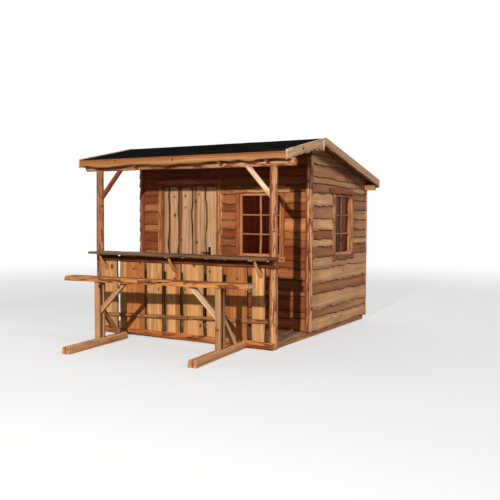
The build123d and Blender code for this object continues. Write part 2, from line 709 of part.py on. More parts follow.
def lock_plates():
    """A long plate on the boards outside and a short one on the middle ledge inside."""
    half = LOCK_PLATE_WIDTH / 2
    left = LEVER_X - half
    right = LEVER_X + half
    foot = LEVER_HEIGHT - LOCK_PLATE_BELOW
    outer = block(left, right, LEAF_Y - LOCK_PLATE_THICK, LEAF_Y, foot, foot + LOCK_PLATE_HEIGHT)
    up = INNER_PLATE_HEIGHT / 2
    inner = block(left, right, STRAP_Y, STRAP_Y + LOCK_PLATE_THICK, LEVER_HEIGHT - up, LEVER_HEIGHT + up)
    return [outer - spindle_hole(), inner - spindle_hole()]


def door_lever():
    """A lever on each face of the door, each on a hub, joined by the spindle."""
    half = LEVER_HUB / 2
    outer_y = LEAF_Y - LOCK_PLATE_THICK - LEVER_STANDOFF
    inner_y = STRAP_Y + LOCK_PLATE_THICK + LEVER_STANDOFF
    made = log_between((LEVER_X, outer_y, LEVER_HEIGHT), (LEVER_X, inner_y, LEVER_HEIGHT),
                       SPINDLE_RADIUS, SPINDLE_RADIUS)
    for y in (outer_y, inner_y):
        made += Pos(LEVER_X, y, LEVER_HEIGHT) * Box(LEVER_HUB, LEVER_HUB, LEVER_HUB)
        start = (LEVER_X - half, y, LEVER_HEIGHT)
        end = (LEVER_X - LEVER_LENGTH, y, LEVER_HEIGHT)
        made += log_between(start, end, LEVER_RADIUS, LEVER_TIP_RADIUS)
    return made


# The porch logs
def porch_post():
    """A tapered log on the ground, flat on top where the beam lies."""
    return log_between((POST_X, POST_Y, 0), (POST_X, POST_Y, POST_TOP), POST_RADIUS, POST_TOP_RADIUS)


def porch_brace():
    """A brace between post and beam, its ends hollowed to fit both."""
    start = (POST_X, POST_Y, BEAM_Z - BRACE_DROP)
    end = (POST_X - BRACE_RUN, POST_Y, BEAM_Z)
    brace = log_between(start, end, BRACE_RADIUS, BRACE_RADIUS)
    return brace - porch_beam() - porch_post()


# The bar
def bar_top():
    top = flat_plank(BAR_TOP_LEFT, BAR_TOP_RIGHT, BAR_FRONT_Y - BAR_TOP_FRONT, BAR_REAR_Y + BAR_TOP_REAR,
                     BAR_UNDERSIDE, BAR_HEIGHT, BAR_TOP_WAVE, BAR_TOP_PHASE)
    for post in both_sides(porch_post()):
        top = top - post
    return top


def bar_boards():
    """Upright waney boards with open gaps; what the boards leave free is shared among the gaps."""
    x = -POST_X + POST_RADIUS + BAR_ROW_LEFT_GAP
    room = 2 * (POST_X - POST_RADIUS) - BAR_ROW_LEFT_GAP - BAR_ROW_RIGHT_GAP - sum(BAR_BOARD_WIDTHS)
    gaps = [room * share / sum(BAR_GAP_SHARES) for share in BAR_GAP_SHARES] + [0]
    made = []
    for i, (width, gap) in enumerate(zip(BAR_BOARD_WIDTHS, gaps)):
        made.append(upright_plank(x, x + width, BAR_BOARD_FOOT, BAR_UNDERSIDE, BAR_FRONT_Y, BAR_REAR_Y,
                                  BAR_BOARD_WAVE, BAR_BOARD_PHASE * i))
        x += width + gap
    return made


def bar_rails():
    """Half logs across the front of the boards: one under the top and a sloping foot rail."""
    high = BAR_UNDERSIDE - BAR_RAIL_BELOW - BAR_RAIL_HEIGHT / 2
    start = (BAR_TOP_LEFT, BAR_FRONT_Y, high)
    end = (BAR_TOP_RIGHT, BAR_FRONT_Y, high)
    upper = half_log(start, end, (0, 0, 1), (0, -1, 0), BAR_RAIL_HEIGHT, BAR_RAIL_DEPTH, BAR_RAIL_PHASE)
    left = (-POST_X + FOOT_RAIL_INSET_LEFT, BAR_FRONT_Y, FOOT_RAIL_LEFT_Z)
    right = (POST_X - FOOT_RAIL_INSET_RIGHT, BAR_FRONT_Y, FOOT_RAIL_RIGHT_Z)
    lower = half_log(left, right, (0, 0, 1), (0, -1, 0), FOOT_RAIL_HEIGHT, FOOT_RAIL_DEPTH, FOOT_RAIL_PHASE)
    return [upper, lower]


def bar_sill():
    """A half log on the ground against the feet of the boards."""
    z = BAR_SILL_HEIGHT / 2
    return half_log((BAR_TOP_LEFT, BAR_FRONT_Y, z), (HALF_WIDTH, BAR_FRONT_Y, z), (0, 0, 1), (0, -1, 0),
                    BAR_SILL_HEIGHT, BAR_SILL_DEPTH, BAR_SILL_PHASE)


def bar_brackets():
    """Hewn horn-shaped branches from the boards out to the underside of the bar top."""
    made = []
    places = (-POST_X + BRACKET_INSET_LEFT, BRACKET_MIDDLE, POST_X - BRACKET_INSET_RIGHT)
    for x in places:
        foot = Vector(x, BAR_REAR_Y, BAR_UNDERSIDE - BRACKET_DROP)
        tip = Vector(x, BAR_FRONT_Y - BRACKET_REACH, BAR_UNDERSIDE + BRACKET_TIP_RADIUS)
        middle = (foot + tip) * 0.5 + Vector(0, -BRACKET_SAG, -BRACKET_SAG)
        path = ThreePointArc(foot, middle, tip)
        rings = []
        for share in steps(0.0, 1.0, 1.0 / BRACKET_RUNS, BRACKET_RUNS):
            radius = BRACKET_FOOT_RADIUS + (BRACKET_TIP_RADIUS - BRACKET_FOOT_RADIUS) * share
            place = Plane(origin=path @ share, x_dir=(1, 0, 0), z_dir=path % share)
            rings.append(place * RegularPolygon(radius, BRACKET_SIDES))
        horn = Solid.make_loft([ring.wire() for ring in rings], ruled=True)
        x0 = x - 2 * BRACKET_FOOT_RADIUS
        x1 = x + 2 * BRACKET_FOOT_RADIUS
        horn -= block(x0, x1, BAR_FRONT_Y, 0, 0, RIDGE_TOP)
        horn -= block(x0, x1, BAR_FRONT_Y - BAR_TOP_FRONT, BAR_FRONT_Y, BAR_UNDERSIDE, RIDGE_TOP)
        made.append(horn)
    return made


# The bench, drawn square to itself and then turned into place
def in_place(pieces):
    """Turn the bench's pieces and set them down in front of the bar."""
    place = Location((BENCH_PLACE[0], BENCH_PLACE[1], 0), (0, 0, BENCH_TURN_DEG))
    return [place * piece for piece in pieces]


def bench_plank():
    half = PLANK_DEPTH / 2
    plank = flat_plank(PLANK_LEFT, PLANK_RIGHT, -half, half, BENCH_SEAT_FOOT, BENCH_HEIGHT, PLANK_WAVE,
                       BENCH_PLANK_PHASE)
    return in_place([plank])


def bench_posts():
    """Each post is two boards with a gap between them for the braces."""
    half = BENCH_POST_WIDTH / 2
    made = []
    for x in BENCH_POSTS:
        for way in (-1, 1):
            near = way * BENCH_POST_GAP / 2
            far = near + way * BENCH_POST_THICK
            y0, y1 = sorted((near, far))
            made.append(block(x - half, x + half, y0, y1, FOOT_HEIGHT, BENCH_SEAT_FOOT))
    return in_place(made)


def bench_foot(x, front, rear):
    """A beam on the ground with its two upper edges taken off, as the bark left them."""
    half = FOOT_WIDTH / 2
    edge = half - FOOT_EDGE
    low = FOOT_HEIGHT - FOOT_EDGE
    corners = [(-half, 0), (half, 0), (half, low), (edge, FOOT_HEIGHT), (-edge, FOOT_HEIGHT), (-half, low)]
    return prism([(x + u, -front, z) for u, z in corners], (0, front + rear, 0))


def bench_feet():
    """Two beams on the ground; the right one's rear end is cut to the round of the bar's sill."""
    end_y = BAR_FRONT_Y - BAR_SILL_DEPTH / 2
    left = bench_foot(BENCH_POSTS[0], FOOT_FRONT, FOOT_REAR)
    right = bench_foot(BENCH_POSTS[1], FOOT_FRONT, end_y - BENCH_PLACE[1])
    left, right = in_place([left, right])
    right -= block(BAR_TOP_LEFT, HALF_WIDTH, end_y, 0, 0, FOOT_HEIGHT)
    return [left, right - bar_sill()]


def seat_brace(x, way):
    """A brace from between the boards of a post, inwards and up to the plank."""
    near = -BENCH_POST_GAP / 2
    low = BENCH_SEAT_FOOT - SEAT_BRACE_RISE - SEAT_BRACE_DEPTH
    head = x + way * SEAT_BRACE_RUN
    corners = [(x, low), (x, low + SEAT_BRACE_DEPTH), (head, BENCH_SEAT_FOOT)]
    corners += [(head + way * SEAT_BRACE_DEPTH, BENCH_SEAT_FOOT)]
    return prism([(u, near, z) for u, z in corners], (0, BENCH_POST_GAP, 0))


def foot_brace(x0):
    """A board from the rear face of a post down to the foot behind it."""
    rear = BENCH_POST_GAP / 2 + BENCH_POST_THICK
    toe = rear + FOOT_BRACE_RUN
    corners = [(rear, FOOT_BRACE_TOP), (toe, FOOT_HEIGHT)]
    corners += [(toe - FOOT_BRACE_DEPTH, FOOT_HEIGHT), (rear, FOOT_BRACE_TOP - FOOT_BRACE_DEPTH)]
    return prism([(x0, y, z) for y, z in corners], (FOOT_BRACE_THICK, 0, 0))


def bench_braces():
    """One brace carries the plank from each post, and a pair steadies the post on its foot."""
    made = []
    edge = FOOT_WIDTH / 2 - FOOT_EDGE
    for x, way in zip(BENCH_POSTS, (1, -1)):
        made += [seat_brace(x, way), foot_brace(x - edge), foot_brace(x + edge - FOOT_BRACE_THICK)]
    return in_place(made)


# The walls' places
TO_FRONT = Pos(0, FRONT_Y, 0)
TO_REAR = Pos(0, REAR_Y, 0) * Rot(0, 0, 180)
TO_RIGHT = Pos(HALF_WIDTH, 0, 0) * Rot(0, 0, 90)


def save_front_wall():
    """Three pieces: left of the door, over it, and right of it with the window."""
    def top(_):
        return RIDGE_BEAM_FOOT

    left = wall((-HALF_WIDTH, DOORWAY_X0, SKIN_FOOT), (-FRAME_X, DOORWAY_X0, BEARER_HEIGHT), top)
    over = block(DOORWAY_X0, DOORWAY_X1, 0, WALL_THICK, DOORWAY_TOP, RIDGE_BEAM_FOOT)
    hole = window_hole(FRONT_WINDOW_CENTRE)
    right = wall((DOORWAY_X1, HALF_WIDTH, SKIN_FOOT), (DOORWAY_X1, FRAME_X, BEARER_HEIGHT), top, hole)
    save("front_wall_left", TO_FRONT * left)
    save("front_wall_over_door", TO_FRONT * over)
    save("front_wall_right", TO_FRONT * right)


def save_side_walls(ridge, plate):
    """Walls that rise with the roof, cut round the ridge beam and the rear plate."""
    def top(y):
        return roof_z(y, BOARD_DROP)

    skin = (FRAME_FRONT_Y, FRAME_REAR_Y, SKIN_FOOT)
    frame = (INSIDE_Y, FRAME_REAR_Y - STUD, BEARER_HEIGHT)
    plain = TO_RIGHT * wall(skin, frame, top) - ridge - plate
    pierced = TO_RIGHT * wall(skin, frame, top, window_hole(RIGHT_WINDOW_CENTRE)) - ridge - plate
    save("right_wall", pierced)
    save("left_wall", mirror(plain, about=Plane.YZ))


def save_back_wall(rear_rafters):
    """The rear wall up to the plate, its boards carried on up between the rafters."""
    def top(_):
        return PLATE_FOOT

    made = TO_REAR * wall((-HALF_WIDTH, HALF_WIDTH, SKIN_FOOT), (-FRAME_X, FRAME_X, BEARER_HEIGHT), top)
    apron = [(-HALF_WIDTH, FRAME_REAR_Y, PLATE_FOOT), (-HALF_WIDTH, REAR_Y, PLATE_FOOT)]
    apron += [(-HALF_WIDTH, REAR_Y, roof_z(REAR_Y, BOARD_DROP))]
    apron += [(-HALF_WIDTH, FRAME_REAR_Y, roof_z(FRAME_REAR_Y, BOARD_DROP))]
    made += prism(apron, (HOUSE_WIDTH, 0, 0))
    for piece in rear_rafters:
        made -= piece
    save("back_wall", made)


def save_roof(beam, ridge, plate, front_rafters, rear_rafters):
    save("ridge_beam", ridge)
    save("rear_wall_plate", plate)
    save("porch_beam", beam)
    save("front_rafters", *front_rafters)
    save("rear_rafters", *rear_rafters)
    save("front_roof_boards", roof_layer(FRONT_EAVE_Y + FASCIA_THICK, FELT_DROP, BOARD_DROP))
    save("rear_roof_boards", roof_layer(REAR_EAVE_Y - FASCIA_THICK, FELT_DROP, BOARD_DROP))
    save("roof_felt", roof_layer(FRONT_EAVE_Y, 0, FELT_DROP) + roof_layer(REAR_EAVE_Y, 0, FELT_DROP))
    save("front_fascia", fascia(FRONT_EAVE_Y, FRONT_EAVE_Y + FASCIA_THICK, FRONT_FASCIA_DROP,
                                FRONT_FASCIA_WAVE, FRONT_FASCIA_PHASE))
    save("rear_fascia", fascia(REAR_EAVE_Y - FASCIA_THICK, REAR_EAVE_Y, REAR_FASCIA_DROP,
                               REAR_FASCIA_WAVE, REAR_FASCIA_PHASE))
    front_barge = barge(FRONT_EAVE_Y, FRONT_BARGE_DEPTH - BARGE_PROUD, BARGE_WAVE, FRONT_BARGE_PHASE)
    rear_barge = barge(REAR_EAVE_Y, REAR_BARGE_DEPTH - BARGE_PROUD, REAR_BARGE_WAVE, REAR_BARGE_PHASE)
    save("right_barge_boards", front_barge - beam, rear_barge)
    save("left_barge_boards", mirror(front_barge, about=Plane.YZ), mirror(rear_barge, about=Plane.YZ))
    save("barge_peak_strip", peak_strip())


def save_door():
    save("door_frame", door_frame())
    save("door_casing", *door_casing())
    save("door_leaf", *door_boards())
    save("door_ledges", *door_ledges())
    save("door_hinges", *door_hinges())
    save("hinge_pintles", *hinge_pintles())
    save("lock_plates", *lock_plates())
    save("door_lever", door_lever())


def save_windows():
    for side, place, centre, phase in (("front", TO_FRONT, FRONT_WINDOW_CENTRE, FRONT_WINDOW_PHASE),
                                       ("right", TO_RIGHT, RIGHT_WINDOW_CENTRE, RIGHT_WINDOW_PHASE)):
        save(f"{side}_window_frame", place * sash(centre, phase))
        save(f"{side}_window_glass", place * pane(centre))
        save(f"{side}_window_trim", *[place * piece for piece in window_trim(centre, phase)])


def main():
    os.makedirs("parts", exist_ok=True)
    beam = porch_beam()
    ridge = ridge_beam()
    plate = rear_wall_plate()
    front_rafters = rafters(-WALL_THICK / 2, FRONT_EAVE_Y + FASCIA_THICK, beam)
    rear_rafters = rafters(WALL_THICK / 2, REAR_EAVE_Y - FASCIA_THICK, plate)

    save("floor_bearers", *bearers())
    save("house_floor", house_floor())
    save("porch_deck", porch_deck())
    save_front_wall()
    save_side_walls(ridge, plate)
    save_back_wall(rear_rafters)
    save("front_corner_posts", *front_corner_logs())
    save("rear_corner_boards", *rear_corner_strips())
    save_windows()
    save_roof(beam, ridge, plate, front_rafters, rear_rafters)
    post = porch_post()
    save("right_porch_post", post)
    save("left_porch_post", mirror(post, about=Plane.YZ))
    save("porch_braces", *both_sides(porch_brace()))
    save_door()
    save("bar_top", bar_top())
    save("bar_boards", *bar_boards())
    save("bar_rails", *bar_rails())
    save("bar_sill", bar_sill())
    save("bar_brackets", *bar_brackets())
    save("bench_plank", *bench_plank())
    save("bench_posts", *bench_posts())
    save("bench_feet", *bench_feet())
    save("bench_braces", *bench_braces())


main()
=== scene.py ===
# %% [markdown]
# # A garden shed with a porch bar
#
# The real one is built from boards that were sawn straight through the log, so that the bark's wavy
# line is still their edge, and from whole and halved logs. Nearly every piece is therefore one of
# three forms: a plank with natural edges, a round log, or half a log.
#
# Everything is in metres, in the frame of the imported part. X runs along the front, Y from the porch
# to the rear wall, and Z up.

import math

import bpy
import numpy as np
from mathutils import Matrix, Vector


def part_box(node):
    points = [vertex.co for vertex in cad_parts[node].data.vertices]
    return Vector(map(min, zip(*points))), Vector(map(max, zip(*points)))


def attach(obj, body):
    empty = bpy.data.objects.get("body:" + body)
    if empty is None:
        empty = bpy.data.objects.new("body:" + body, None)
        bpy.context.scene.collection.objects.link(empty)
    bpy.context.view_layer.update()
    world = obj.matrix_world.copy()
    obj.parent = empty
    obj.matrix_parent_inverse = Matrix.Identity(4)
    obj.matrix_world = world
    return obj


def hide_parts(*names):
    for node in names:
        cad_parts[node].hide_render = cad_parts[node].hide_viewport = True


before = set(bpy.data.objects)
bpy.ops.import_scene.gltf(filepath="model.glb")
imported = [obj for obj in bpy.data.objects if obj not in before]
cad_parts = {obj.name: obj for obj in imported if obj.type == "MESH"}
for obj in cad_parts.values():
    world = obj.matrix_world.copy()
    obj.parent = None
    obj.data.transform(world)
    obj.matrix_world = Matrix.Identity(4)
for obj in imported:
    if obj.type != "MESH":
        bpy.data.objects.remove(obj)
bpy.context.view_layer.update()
X, Y, Z = np.eye(3)
print("nodes in the frame:", len(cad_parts))

# %% [markdown]
# ## Curves that wander
#
# A bark edge has no rule that a sine could give, and yet it is smooth. Random heights a fixed pitch
# apart, joined by an S-shaped step, give such a line. Two or three of them at different pitches
# added together look like wood. Random numbers come from seeds, so that each run is the same.


# %% A line that wanders
def wander(s, seed, pitch):
    """Value noise: random heights every pitch metres, joined by f*f*(3-2f); between -1 and 1."""
    heights = np.random.default_rng(seed).uniform(-1, 1, 512)
    place = np.asarray(s, float) / pitch + 60.0
    first = np.floor(place).astype(int)
    share = place - first
    share = share * share * (3 - 2 * share)
    return heights[first % 512] * (1 - share) + heights[(first + 1) % 512] * share


def bark_line(s, seed, reach, pitch):
    """A natural edge: a long wander, a shorter one, and scallops with cusps where branches grew.
    Tanh of their sum keeps it within the reach."""
    long = wander(s, seed, pitch)
    short = wander(s, seed + 1, pitch * 0.38)
    scallop = 1 - 2 * np.abs(wander(s, seed + 2, pitch * 0.55))
    return reach * np.tanh(long + 0.6 * short + 0.45 * scallop)


def bumps(s, a, seed, waves=16):
    """Unevenness over a log: a sum of sines of k*s + l*a, l whole, so that it closes round the log."""
    rng = np.random.default_rng(seed)
    k = rng.uniform(3, 48, waves)
    turns = rng.integers(0, 5, waves)
    phase = rng.uniform(0, 2 * math.pi, waves)
    weight = 1 / (1 + 0.06 * k)
    return np.sin(s[..., None] * k + a[..., None] * turns + phase) @ weight / weight.sum()


print("edge at 0, 1 and 2 m:", np.round(bark_line(np.arange(3.0), 5, 0.01, 0.3), 4))

# %% [markdown]
# ## From a grid of points to a closed surface
#
# A plank and a log are the same thing to a computer: a ring of points carried along a line. The
# points are worked out as one array, `points[ring, step]`. Neighbouring rings are joined by quads
# and each end gets one flat face. Three values travel with every point and are read by the finish:
# `grain`, its place in the wood's own axes (along, across, deep), `board`, what kind of board it
# is, and the third, how near it lies to the natural edge. The edge colour it calls up is bark, and
# on lapped wall boards, bar boards and the split of a log it is also painted shade.

# %% One closed surface
# Kinds of board: centre and half width of the heart, and the tone. A centre of 1 or more means a
# board of one colour, and what it has over 1 is its share of heart.
KINDS = {
    "r": (1.85, 0, 0.55), "R": (1.95, 0, 0.20), "o": (1.48, 0, 0.60), "t": (1.22, 0, 0.60), "p": (1.0, 0, 0.85),
    "b": (1.62, 0, 0.30), "m": (-0.05, 0.040, 0.55), "n": (0.05, 0.045, 0.60), "s": (0.01, 0.055, 0.60),
    "d": (1.15, 0, 0.30), "g": (1.05, 0, 0.50)}
CREASE = math.radians(38)


def tube(points, grain, kind, bark):
    """Rings joined by quads, a flat face at each end. The sign of the volume tells which side is out."""
    rings, steps = points.shape[:2]
    ring, step = np.meshgrid(np.arange(rings - 1), np.arange(steps), indexing="ij")
    here = ring * steps + step
    beside = ring * steps + (step + 1) % steps
    quads = np.stack([here, beside, beside + steps, here + steps], axis=-1).reshape(-1, 4)
    caps = np.stack([np.arange(steps)[::-1], np.arange(steps) + (rings - 1) * steps])
    flat = points.reshape(-1, 3)
    arm = flat[quads] - flat.mean(axis=0)
    volume = np.einsum("ij,ij->", arm[:, 0], np.cross(arm[:, 1], arm[:, 2]) + np.cross(arm[:, 2], arm[:, 3]))
    if volume < 0:
        quads, caps = quads[:, ::-1], caps[:, ::-1]
    return {"points": flat, "quads": quads, "caps": caps, "grain": grain.reshape(-1, 3),
            "board": np.broadcast_to(np.asarray(KINDS.get(kind, kind), float), (len(flat), 3)),
            "bark": np.broadcast_to(bark, points.shape[:2]).reshape(-1)}


# finishes by name; bpy.data would also give the frame's own plain materials, some of the same name
FINISHES = {}


def build(name, tubes, finish, slot, *replaces, body="shed"):
    """Join surfaces into one piece, give it its finish, and say what it rides on and stands for."""
    starts = np.cumsum([0] + [len(t["points"]) for t in tubes[:-1]])
    faces = []
    for t, start in zip(tubes, starts):
        faces += (t["quads"] + start).tolist() + (t["caps"] + start).tolist()
    mesh = bpy.data.meshes.new(name)
    mesh.from_pydata(np.concatenate([t["points"] for t in tubes]).tolist(), [], faces)
    for key, kind, field in (("grain", "FLOAT_VECTOR", "vector"), ("board", "FLOAT_VECTOR", "vector"),
                             ("bark", "FLOAT", "value")):
        values = np.concatenate([t[key] for t in tubes]).astype(np.float32).ravel()
        mesh.attributes.new(key, kind, "POINT").data.foreach_set(field, values)
    mesh.polygons.foreach_set("use_smooth", np.ones(len(mesh.polygons), bool))
    mesh.set_sharp_from_angle(angle=CREASE)
    mesh.materials.append(FINISHES[finish])
    piece = bpy.data.objects.new(name, mesh)
    bpy.context.scene.collection.objects.link(piece)
    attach(piece, body)
    if replaces:
        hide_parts(*replaces)
    print(f"{name}: {len(tubes)} surfaces, {len(mesh.polygons)} faces")


# %% [markdown]
# ## The three forms
#
# **A plank** is a ring of thirteen points: along the back, round the lower edge, over the face and
# round the upper edge. Each edge may be a plain number or a bark line, so that the same function
# makes a sawn rafter and a waney wall board. Its ends can be cut at a slope.

# %% A plank
# share of the width, share of the lower bevel, share of the upper bevel, share of the thickness
PLANK_RING = np.array([
    (0, 0.15, 0, 0.0), (0, 0.0, 0, 0.30), (0, 0.22, 0, 0.72), (0, 0.62, 0, 0.93), (0, 1.0, 0, 1.0),
    (0.3, 0, 0, 1.0), (0.5, 0, 0, 1.0), (0.7, 0, 0, 1.0),
    (1, 0, 1.0, 1.0), (1, 0, 0.62, 0.93), (1, 0, 0.22, 0.72), (1, 0, 0.0, 0.30), (1, 0, 0.15, 0.0)])
# share of the edge colour at each point of the ring: bark, and on wall and bar boards also painted shade under the lap
# and in the gaps
LOWER_EDGE = np.array([0.5, 1, 1, 0.95, 0.3, 0, 0, 0, 0, 0, 0, 0, 0])
UPPER_EDGE = LOWER_EDGE[::-1]
# bevel of a sawn edge, bevels of two eased ones, the rise above which a point lies on the face
SAWN, EASED, FACE = 0.0025, (0.004, 0.004), 0.9
END_ROUND = 0.0015


def stations(length, pitch):
    """Places of the rings: even steps, with two more close to each end for the eased corners."""
    inner = np.linspace(0, 1, max(2, round(length / pitch) + 1))
    near = min(0.2, 0.004 / length)
    return np.concatenate([[0.0], [near], inner[1:-1], [1 - near], [1.0]])


def deep_grain(s, x, y, seed, rng):
    """Grain of a piece: each one starts at another place along and deep in its log."""
    return np.stack([s + rng.uniform(0, 40), x, y + 0.37 * (seed % 29)], axis=-1)


def edge_at(s, edge):
    """An edge is a number, a function of s, or the middle, seed, reach and pitch of a bark line."""
    if callable(edge):
        return edge(s)
    return edge[0] + bark_line(s, *edge[1:]) if isinstance(edge, tuple) else np.full_like(s, edge)


def plank(start, along, across, out, length, low, high, thick, seed, kind="o", bevel=(SAWN, SAWN), bark=(0, 0),
          pitch=0.03, back=0.0, cuts=(0.0, 0.0), relief=0.0004):
    """Point = start + s*along + c*across + d*out. c runs between the edges low and high, d follows
    PLANK_RING and the thickness, which may change from the lower to the upper edge.
    An end is cut at a slope by letting s grow with c."""
    share = stations(length, pitch)
    s = share * length
    low, high = edge_at(s, low)[:, None], edge_at(s, high)[:, None]
    rough = 1 + 0.45 * wander(s, seed + 7, 0.11)[:, None]
    width, lower, upper, rise = PLANK_RING.T
    c = low + width * (high - low)
    c = c + (lower * bevel[0] - upper * bevel[1]) * rough
    part = np.clip((c - low) / (high - low), 0, 1)
    thickness = thick[0] + (thick[1] - thick[0]) * part if isinstance(thick, tuple) else thick
    d = back + rise * (thickness - back)
    d = d + (rise > FACE) * relief * (wander(s[:, None] + 9 * c, seed + 4, 0.16) - 1)
    tight = np.zeros_like(s)
    tight[[0, -1]] = END_ROUND
    tight = tight[:, None]
    middle = (low + high) / 2
    c = c + np.sign(middle - c) * tight
    d = d - (rise > 0.5) * tight
    s_here = s[:, None] + c * (cuts[0] * (1 - share) + cuts[1] * share)[:, None]
    points = np.asarray(start, float) + s_here[..., None] * along + c[..., None] * across + d[..., None] * out
    grain = deep_grain(s_here, c - middle.mean(), d, seed, np.random.default_rng(seed + 900))
    return tube(points, grain, kind, bark[0] * LOWER_EDGE + bark[1] * UPPER_EDGE)


print("points round a plank:", len(PLANK_RING))

# %% [markdown]
# **A log** is a circle carried along a straight line that bends a little. Its radius changes with
# the place along it and round it: a slow swelling, small bumps, a ring of fibre where a branch was
# cut off, and the long narrow valleys of drying cracks. **Half a log** is the same surface cut
# by a flat back.

# %% Logs and half logs
LOG_STEPS, HALF_STEPS, LOG_PITCH = 26, 15, 0.022
EMBED = 0.002


def axes(start, end, side):
    """Unit vectors along the line from start to end, towards side, and square to both."""
    start, end = np.asarray(start, float), np.asarray(end, float)
    length = np.linalg.norm(end - start)
    along = (end - start) / length
    side = side - along * (side @ along)
    side = side / np.linalg.norm(side)
    return start, along, side, np.cross(along, side), length


def valley(a, angle, width):
    """A bell round one angle of a log: 1 there, fading over a width given as a share of the radius."""
    turn = np.angle(np.exp(1j * (a - angle)))
    return np.exp(-(turn**2) / (2 * width**2))


def log(start, end, radii, seed, kind="o", side=X, rough=0.035, bend=0.004, knots=5, cracks=2, split=None):
    """Radius = straight taper * (1 + bumps) + branch collars - cracks; the centre bends by a wander.
    split is the angle of one deep crack from end to end."""
    start, along, side, third, length = axes(start, end, side)
    s = stations(length, LOG_PITCH)[:, None] * length
    s, a = np.broadcast_arrays(s, np.arange(LOG_STEPS)[None, :] * 2 * math.pi / LOG_STEPS)
    mean = float(np.mean(radii))
    r = (radii[0] + (radii[1] - radii[0]) * s / length) * (1 + rough * bumps(s, a, seed))
    rng = np.random.default_rng(seed + 50)
    for at, angle in zip(rng.uniform(0.08, 0.92, knots) * length, rng.uniform(0, 2 * math.pi, knots)):
        r = r + 0.085 * mean * valley(a, angle, 0.42) * np.exp(-((s - at) ** 2) / (2 * (0.42 * mean) ** 2))
    for angle in rng.uniform(0, 2 * math.pi, cracks):
        gape = np.clip(0.5 + wander(s, seed + 71, 0.35), 0, 1)
        r = r - 0.09 * mean * gape * valley(a, angle + 0.25 * wander(s, seed + 70, 0.5), 0.07)
    r = np.where((s <= 0) | (s >= length), r - 0.004, r)
    bark = np.ones(s.shape)
    if split is not None:
        # the split's groove is cut into the log and also painted dark, as painted shade in the crack
        groove = valley(a, split + 0.12 * wander(s, seed + 72, 0.4), 0.10)
        r = r - 0.36 * mean * groove
        bark = bark + 1.3 * groove
    sway = bend * np.sin(math.pi * s / length)
    x = r * np.cos(a) + sway * wander(s, seed + 80, 0.6)
    y = r * np.sin(a) + sway * wander(s, seed + 81, 0.6)
    points = start + s[..., None] * along + x[..., None] * side + y[..., None] * third
    return tube(points, deep_grain(s, x, y, seed, rng), kind, bark)


def half_log(start, end, across, width, depth, seed, kind="o", pitch=LOG_PITCH, rough=0.07, sway=0.05):
    """Half an ellipse carried along: across = w/2*cos(a), out = depth*sin(a)^0.8, both times 1 + bumps.
    sway is how far the middle wanders to the sides, as a share of the width."""
    start, along, across, out, length = axes(start, end, across)
    s = stations(length, pitch)[:, None] * length
    s, a = np.broadcast_arrays(s, np.linspace(0, math.pi, HALF_STEPS)[None, :])
    wide = width * (1 + 0.5 * rough * (wander(s, seed + 3, 0.24) - 1))
    r = 1 + rough * bumps(s, a, seed) - 0.03 * ((s <= 0) | (s >= length))
    x = wide / 2 * np.cos(a) * r + sway * width * wander(s, seed + 5, 0.24)
    y = depth * np.sin(a) ** 0.8 * r - EMBED
    points = start + s[..., None] * along + x[..., None] * across + y[..., None] * out
    grain = deep_grain(s, x, y, seed, np.random.default_rng(seed + 900))
    return tube(points, grain, kind, np.clip(1.25 - np.sin(a), 0, 1))


print("points round a log:", LOG_STEPS, "and round half a log:", HALF_STEPS)

# %% [markdown]
# ## Small helpers for finishes
#
# A finish is a little program of nodes, and written out one node at a time it is long. Here a
# `Value` stands for what comes out of a socket. It can be added to, multiplied and compared as a
# number is, and each sign adds one Math node.


# %% Node helpers
class Value:
    """What comes out of a socket. Every sign used on it adds one Math node to its tree."""

    def __init__(self, socket):
        self.socket = socket
        self.tree = socket.id_data

    def math(self, operation, other=0.0, clamp=False):
        return add(self.tree, "ShaderNodeMath", {0: self, 1: other}, operation=operation, use_clamp=clamp)

    def __add__(self, other):
        return self.math("ADD", other)

    def __sub__(self, other):
        return self.math("SUBTRACT", other)

    def __mul__(self, other):
        return self.math("MULTIPLY", other)

    def __truediv__(self, other):
        return self.math("DIVIDE", other)

    def __gt__(self, other):
        return self.math("GREATER_THAN", other)

    def __lt__(self, other):
        return self.math("LESS_THAN", other)

    def __abs__(self):
        return self.math("ABSOLUTE")

    def most(self, other):
        return self.math("MAXIMUM", other)


def fill(node, feeds):
    """Feed a node's inputs, by name or number: link a Value, or set a plain number or colour."""
    for key, value in dict(feeds).items():
        if isinstance(value, Value):
            value.tree.links.new(value.socket, node.inputs[key])
        else:
            node.inputs[key].default_value = value
    return node


def new_node(tree, kind, feeds=(), **settings):
    node = tree.nodes.new(kind)
    for key, value in settings.items():
        setattr(node, key, value)
    return fill(node, feeds)


def add(tree, kind, feeds=(), out=0, **settings):
    """Add a node with its settings and feeds, and return one of its outputs."""
    return Value(new_node(tree, kind, feeds, **settings).outputs[out])


def step(value, low, high, to=(0.0, 1.0)):
    """A smooth step from to[0] at low up to to[1] at high."""
    return add(value.tree, "ShaderNodeMapRange", {0: value, 1: low, 2: high, 3: to[0], 4: to[1]},
               interpolation_type="SMOOTHSTEP")


def mix(share, a, b, blend="MIX"):
    tree = (share if isinstance(share, Value) else a).tree
    return add(tree, "ShaderNodeMix", {0: share, 6: a, 7: b}, out=2, data_type="RGBA", blend_type=blend)


def stretch(vector, factors):
    return add(vector.tree, "ShaderNodeVectorMath", {0: vector, 1: factors}, operation="MULTIPLY")


def noise(vector, scales, detail=2.0, rough=0.5):
    """Noise with its own scale along each axis."""
    return add(vector.tree, "ShaderNodeTexNoise",
               {"Vector": stretch(vector, scales), "Scale": 1.0, "Detail": detail, "Roughness": rough})


def distance(a, b, factors=(1.0, 1.0, 1.0)):
    """Length of a - b, stretched along its axes."""
    away = add(a.tree, "ShaderNodeVectorMath", {0: a, 1: b}, operation="SUBTRACT")
    return add(a.tree, "ShaderNodeVectorMath", {0: stretch(away, factors)}, out=1, operation="LENGTH")


def parts(vector):
    return [Value(out) for out in new_node(vector.tree, "ShaderNodeSeparateXYZ", {0: vector}).outputs]


